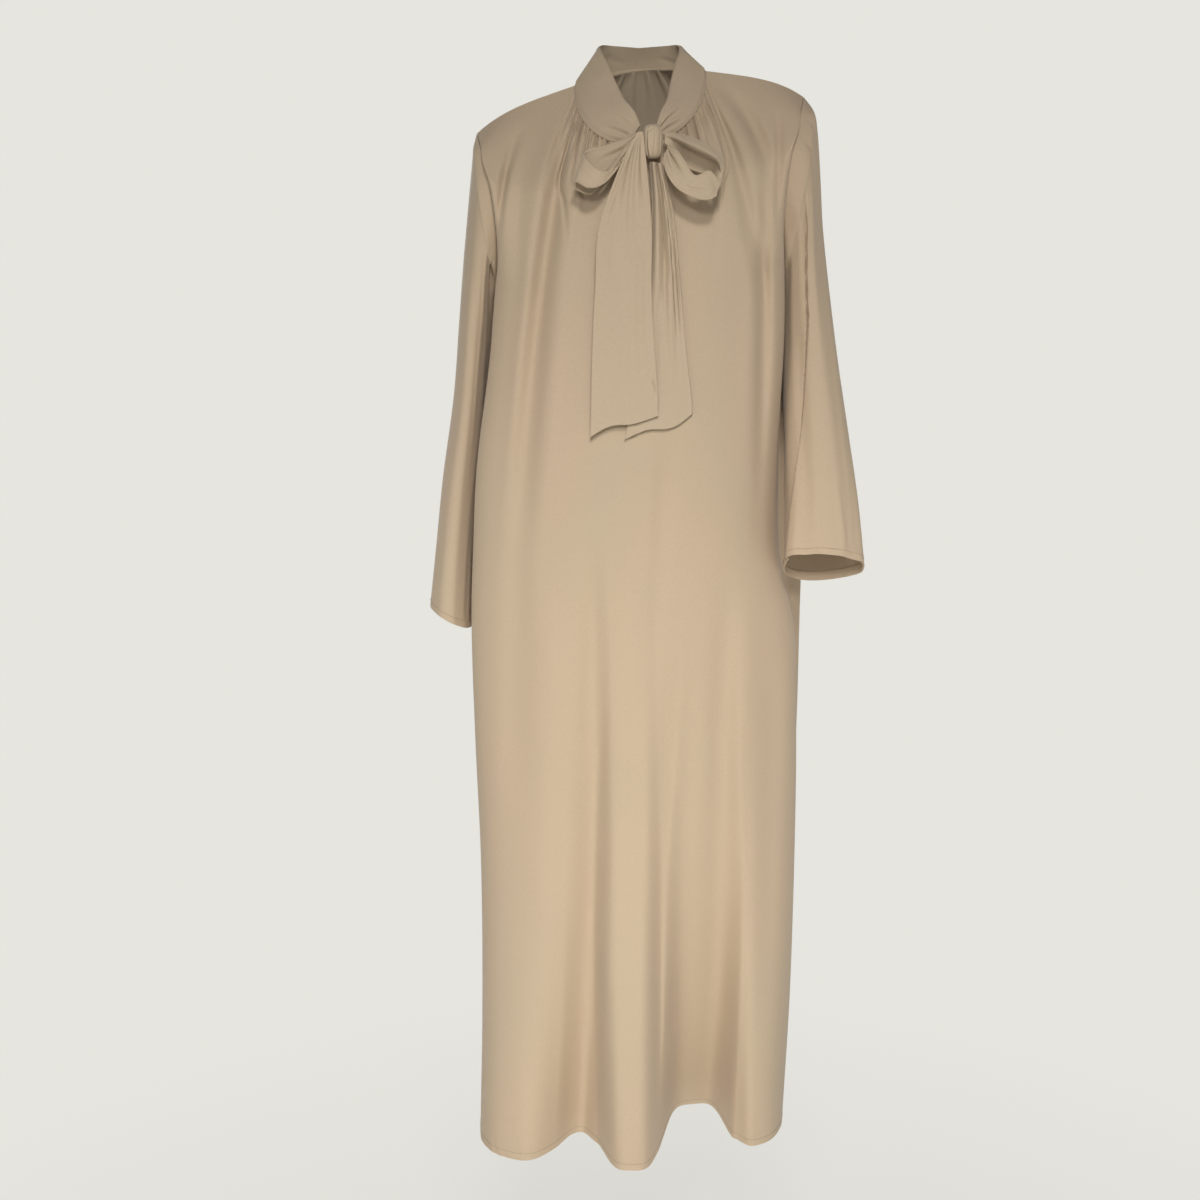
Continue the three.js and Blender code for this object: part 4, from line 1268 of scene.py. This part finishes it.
def crepe_material(name, cloth_colour, warm, cool, grain, mottling_and_shade, yarns, lift):
    """Matte crepe: mottled dye with painted shade darker towards the top, painted shade in the
    hollows of the grain, and a faint bloom of fibre.
    """
    material = bpy.data.materials.new(name)
    material.use_nodes = True
    tree = material.node_tree
    shader = tree.nodes["Principled BSDF"]
    shader.inputs["Sheen Weight"].default_value = 0.12
    shader.inputs["Sheen Roughness"].default_value = 0.45
    shader.inputs["Specular IOR Level"].default_value = 0.22
    weave = node_of(tree, "ShaderNodeGroup", (-900, -100), node_tree=grain, Yarns_per_metre=yarns)
    # the mottled colour, with painted shade darker towards the top
    colouring = node_of(
        tree, "ShaderNodeGroup", (-900, 300), node_tree=mottling_and_shade,
        Cloth=(*cloth_colour, 1), Warm=(*warm, 1), Cool=(*cool, 1),
    )
    # painted shade: the colour is multiplied darker in the grain's hollows
    shaded = node_of(
        tree, "ShaderNodeMix", (-400, 300), data_type="RGBA", blend_type="MULTIPLY",
        Factor=0.35,
    )
    tone = node_of(tree, "ShaderNodeMapRange", (-640, 60), To_Min=0.72, To_Max=1.06)
    gloss = node_of(tree, "ShaderNodeMapRange", (-640, -160), To_Min=0.9, To_Max=0.7)
    surface = node_of(tree, "ShaderNodeBump", (-300, -320), Strength=0.5, Distance=lift * MM)
    wire(
        tree,
        (weave, "Hollows", tone, "Value"),
        (weave, "Hollows", gloss, "Value"),
        (colouring, "Color", shaded, "A"),
        (tone, "Result", shaded, "B"),
        (shaded, "Result", shader, "Base Color"),
        (gloss, "Result", shader, "Roughness"),
        (weave, "Height", surface, "Height"),
        (surface, "Normal", shader, "Normal"),
    )
    return material


def make_finishes():
    """The finishes by name: the dress's crepe, the tie's and the thread."""
    grain, mottling_and_shade = crepe_grain_group(), mottling_and_shade_group()
    colouring = (0.560, 0.432, 0.298), (0.590, 0.425, 0.308), (0.500, 0.418, 0.286)
    tie_dye = (0.555, 0.432, 0.300), (0.580, 0.432, 0.312), (0.510, 0.420, 0.292)
    return {
        "body": crepe_material("body crepe", *colouring, grain, mottling_and_shade, 1500.0, 0.25),
        "tie": crepe_material("tie crepe", *tie_dye, grain, mottling_and_shade, 1500.0, 0.25),
        "thread": crepe_material(
            "sewing thread", (0.36, 0.27, 0.18), (0.36, 0.27, 0.19), (0.34, 0.26, 0.18),
            grain, mottling_and_shade, 4000.0, 0.1,
        ),
    }


# ---------------------------------------------------------------- the studio
BACKDROP = (0.791, 0.783, 0.737)
FLOOR_HEIGHT = -1.86
FLOOR_RADIUS = 40.0
BACKDROP_LIGHT = 0.08  # strength with which the backdrop lights the cloth
CAMERA_PLACE = (-0.050, -2.350, -0.168)
CAMERA_TILT = 12  # degrees downwards
CAMERA_LENS = 54.6
# Name, place, aim, size in metres and watts of each light, and its spread where it is narrowed.
LIGHTS = [
    ("key", (0.2, -2.3, 1.4), (0, 0, -0.6), 0.35, 33),
    ("skirt front", (-0.2, -2.6, 0.7), (-0.05, 0, -1.4), 0.5, 5.6, 60),
    ("hem front", (0.2, -2.8, -0.9), (0.04, 0, -1.38), 0.5, 0.4, 34),
    ("left fill", (-1.9, -2.5, 0.2), (-0.1, 0, -0.6), 1.2, 1.5),
    ("back", (-0.8, 2.8, 0.6), (0, 0, -0.7), 1.6, 50),
    ("left side", (-2.8, 0.2, -0.2), (0, 0, -0.7), 1.6, 5),
    ("right side", (2.8, 0.4, -0.2), (0, 0, -0.7), 1.6, 4),
]


def add_camera():
    """The camera, level with the chest and looking a little down."""
    camera = bpy.data.objects.new("camera", bpy.data.cameras.new("camera"))
    camera.data.sensor_width = 36
    camera.data.lens = CAMERA_LENS
    camera.location = CAMERA_PLACE
    camera.rotation_euler = (math.radians(90 - CAMERA_TILT), 0, 0)
    bpy.context.scene.collection.objects.link(camera)
    bpy.context.scene.camera = camera


def add_light(name, place, aim, size, watts, spread=180):
    """A round soft light."""
    light = bpy.data.objects.new(name, bpy.data.lights.new(name, "AREA"))
    light.data.shape = "DISK"
    light.data.size = size
    light.data.energy = watts
    light.data.spread = math.radians(spread)
    light.location = place
    direction = Vector(aim) - Vector(place)
    light.rotation_euler = direction.to_track_quat("-Z", "Y").to_euler()
    bpy.context.scene.collection.objects.link(light)


def add_floor():
    """A wide pale floor that passes into the backdrop's colour away from the garment."""
    bpy.ops.mesh.primitive_circle_add(
        vertices=96, radius=FLOOR_RADIUS, fill_type="TRIFAN", location=(0, 0, FLOOR_HEIGHT)
    )
    floor = bpy.context.object
    floor.name = "floor"
    material = bpy.data.materials.new("pale floor")
    material.use_nodes = True
    tree = material.node_tree
    lit = tree.nodes["Principled BSDF"]
    lit.inputs["Base Color"].default_value = (*BACKDROP, 1)
    lit.inputs["Roughness"].default_value = 0.9
    lit.inputs["Specular IOR Level"].default_value = 0.0
    glow = node_of(tree, "ShaderNodeEmission", Color=(*BACKDROP, 1))
    place = node_of(tree, "ShaderNodeTexCoord")
    away = node_of(tree, "ShaderNodeVectorMath", operation="LENGTH")
    reach = node_of(
        tree, "ShaderNodeMapRange", interpolation_type="SMOOTHSTEP",
        From_Min=0.2, From_Max=1.6, To_Min=0.75,
    )
    blend = node_of(tree, "ShaderNodeMixShader")
    wire(
        tree,
        (place, "Object", away, 0),
        (away, "Value", reach, "Value"),
        (reach, "Result", blend, "Fac"),
        (lit, "BSDF", blend, 1),
        (glow, "Emission", blend, 2),
        (blend, "Shader", tree.nodes["Material Output"], "Surface"),
    )
    floor.data.materials.append(material)
    floor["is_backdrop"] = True


def add_surroundings():
    """A pale backdrop all round, which lights the cloth less than it shows."""
    world = bpy.data.worlds.new("studio")
    world.use_nodes = True
    bpy.context.scene.world = world
    tree = world.node_tree
    shown = tree.nodes["Background"]
    shown.inputs["Color"].default_value = (*BACKDROP, 1)
    lighting = node_of(
        tree, "ShaderNodeBackground",
        Color=(0.80, 0.79, 0.77, 1), Strength=BACKDROP_LIGHT,
    )
    ray = node_of(tree, "ShaderNodeLightPath")
    blend = node_of(tree, "ShaderNodeMixShader")
    wire(
        tree,
        (ray, "Is Camera Ray", blend, "Fac"),
        (lighting, "Background", blend, 1),
        (shown, "Background", blend, 2),
        (blend, "Shader", tree.nodes["World Output"], "Surface"),
    )


def add_studio():
    """Floor, surroundings and lights."""
    add_floor()
    add_surroundings()
    for light in LIGHTS:
        add_light(*light)
    bpy.context.scene.view_settings.view_transform = "Standard"


def sew(finishes):
    """Makes every piece and hides the CAD node that it stands for."""
    body, tie, thread = finishes["body"], finishes["tie"], finishes["thread"]
    for side in ("front", "back"):
        panel = body_panel(side, body)
        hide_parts(side + "_body")
        hem = hem_stitches(side, thread)
    for name in HANDS:
        tube = sleeve(name, body)
        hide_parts("sleeve_" + name)
        cuff = cuff_stitches(name, thread)
    wrap = knot(tie)
    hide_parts("knot")
    band = neck_band(tie)
    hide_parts("neck_band")
    for name in HANDS:
        bow = loop(name, tie)
        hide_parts("loop_" + name)
        end = tail(name, tie)
        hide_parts("tail_" + name)


def write_sizes():
    """The CAD model's box and the visual model's, as lists of corners."""
    boxes = {"cad": cad_box, "visual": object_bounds()}
    sizes = {name: [list(corner) for corner in box] for name, box in boxes.items()}


add_camera()
sew(make_finishes())
add_studio()
write_sizes()
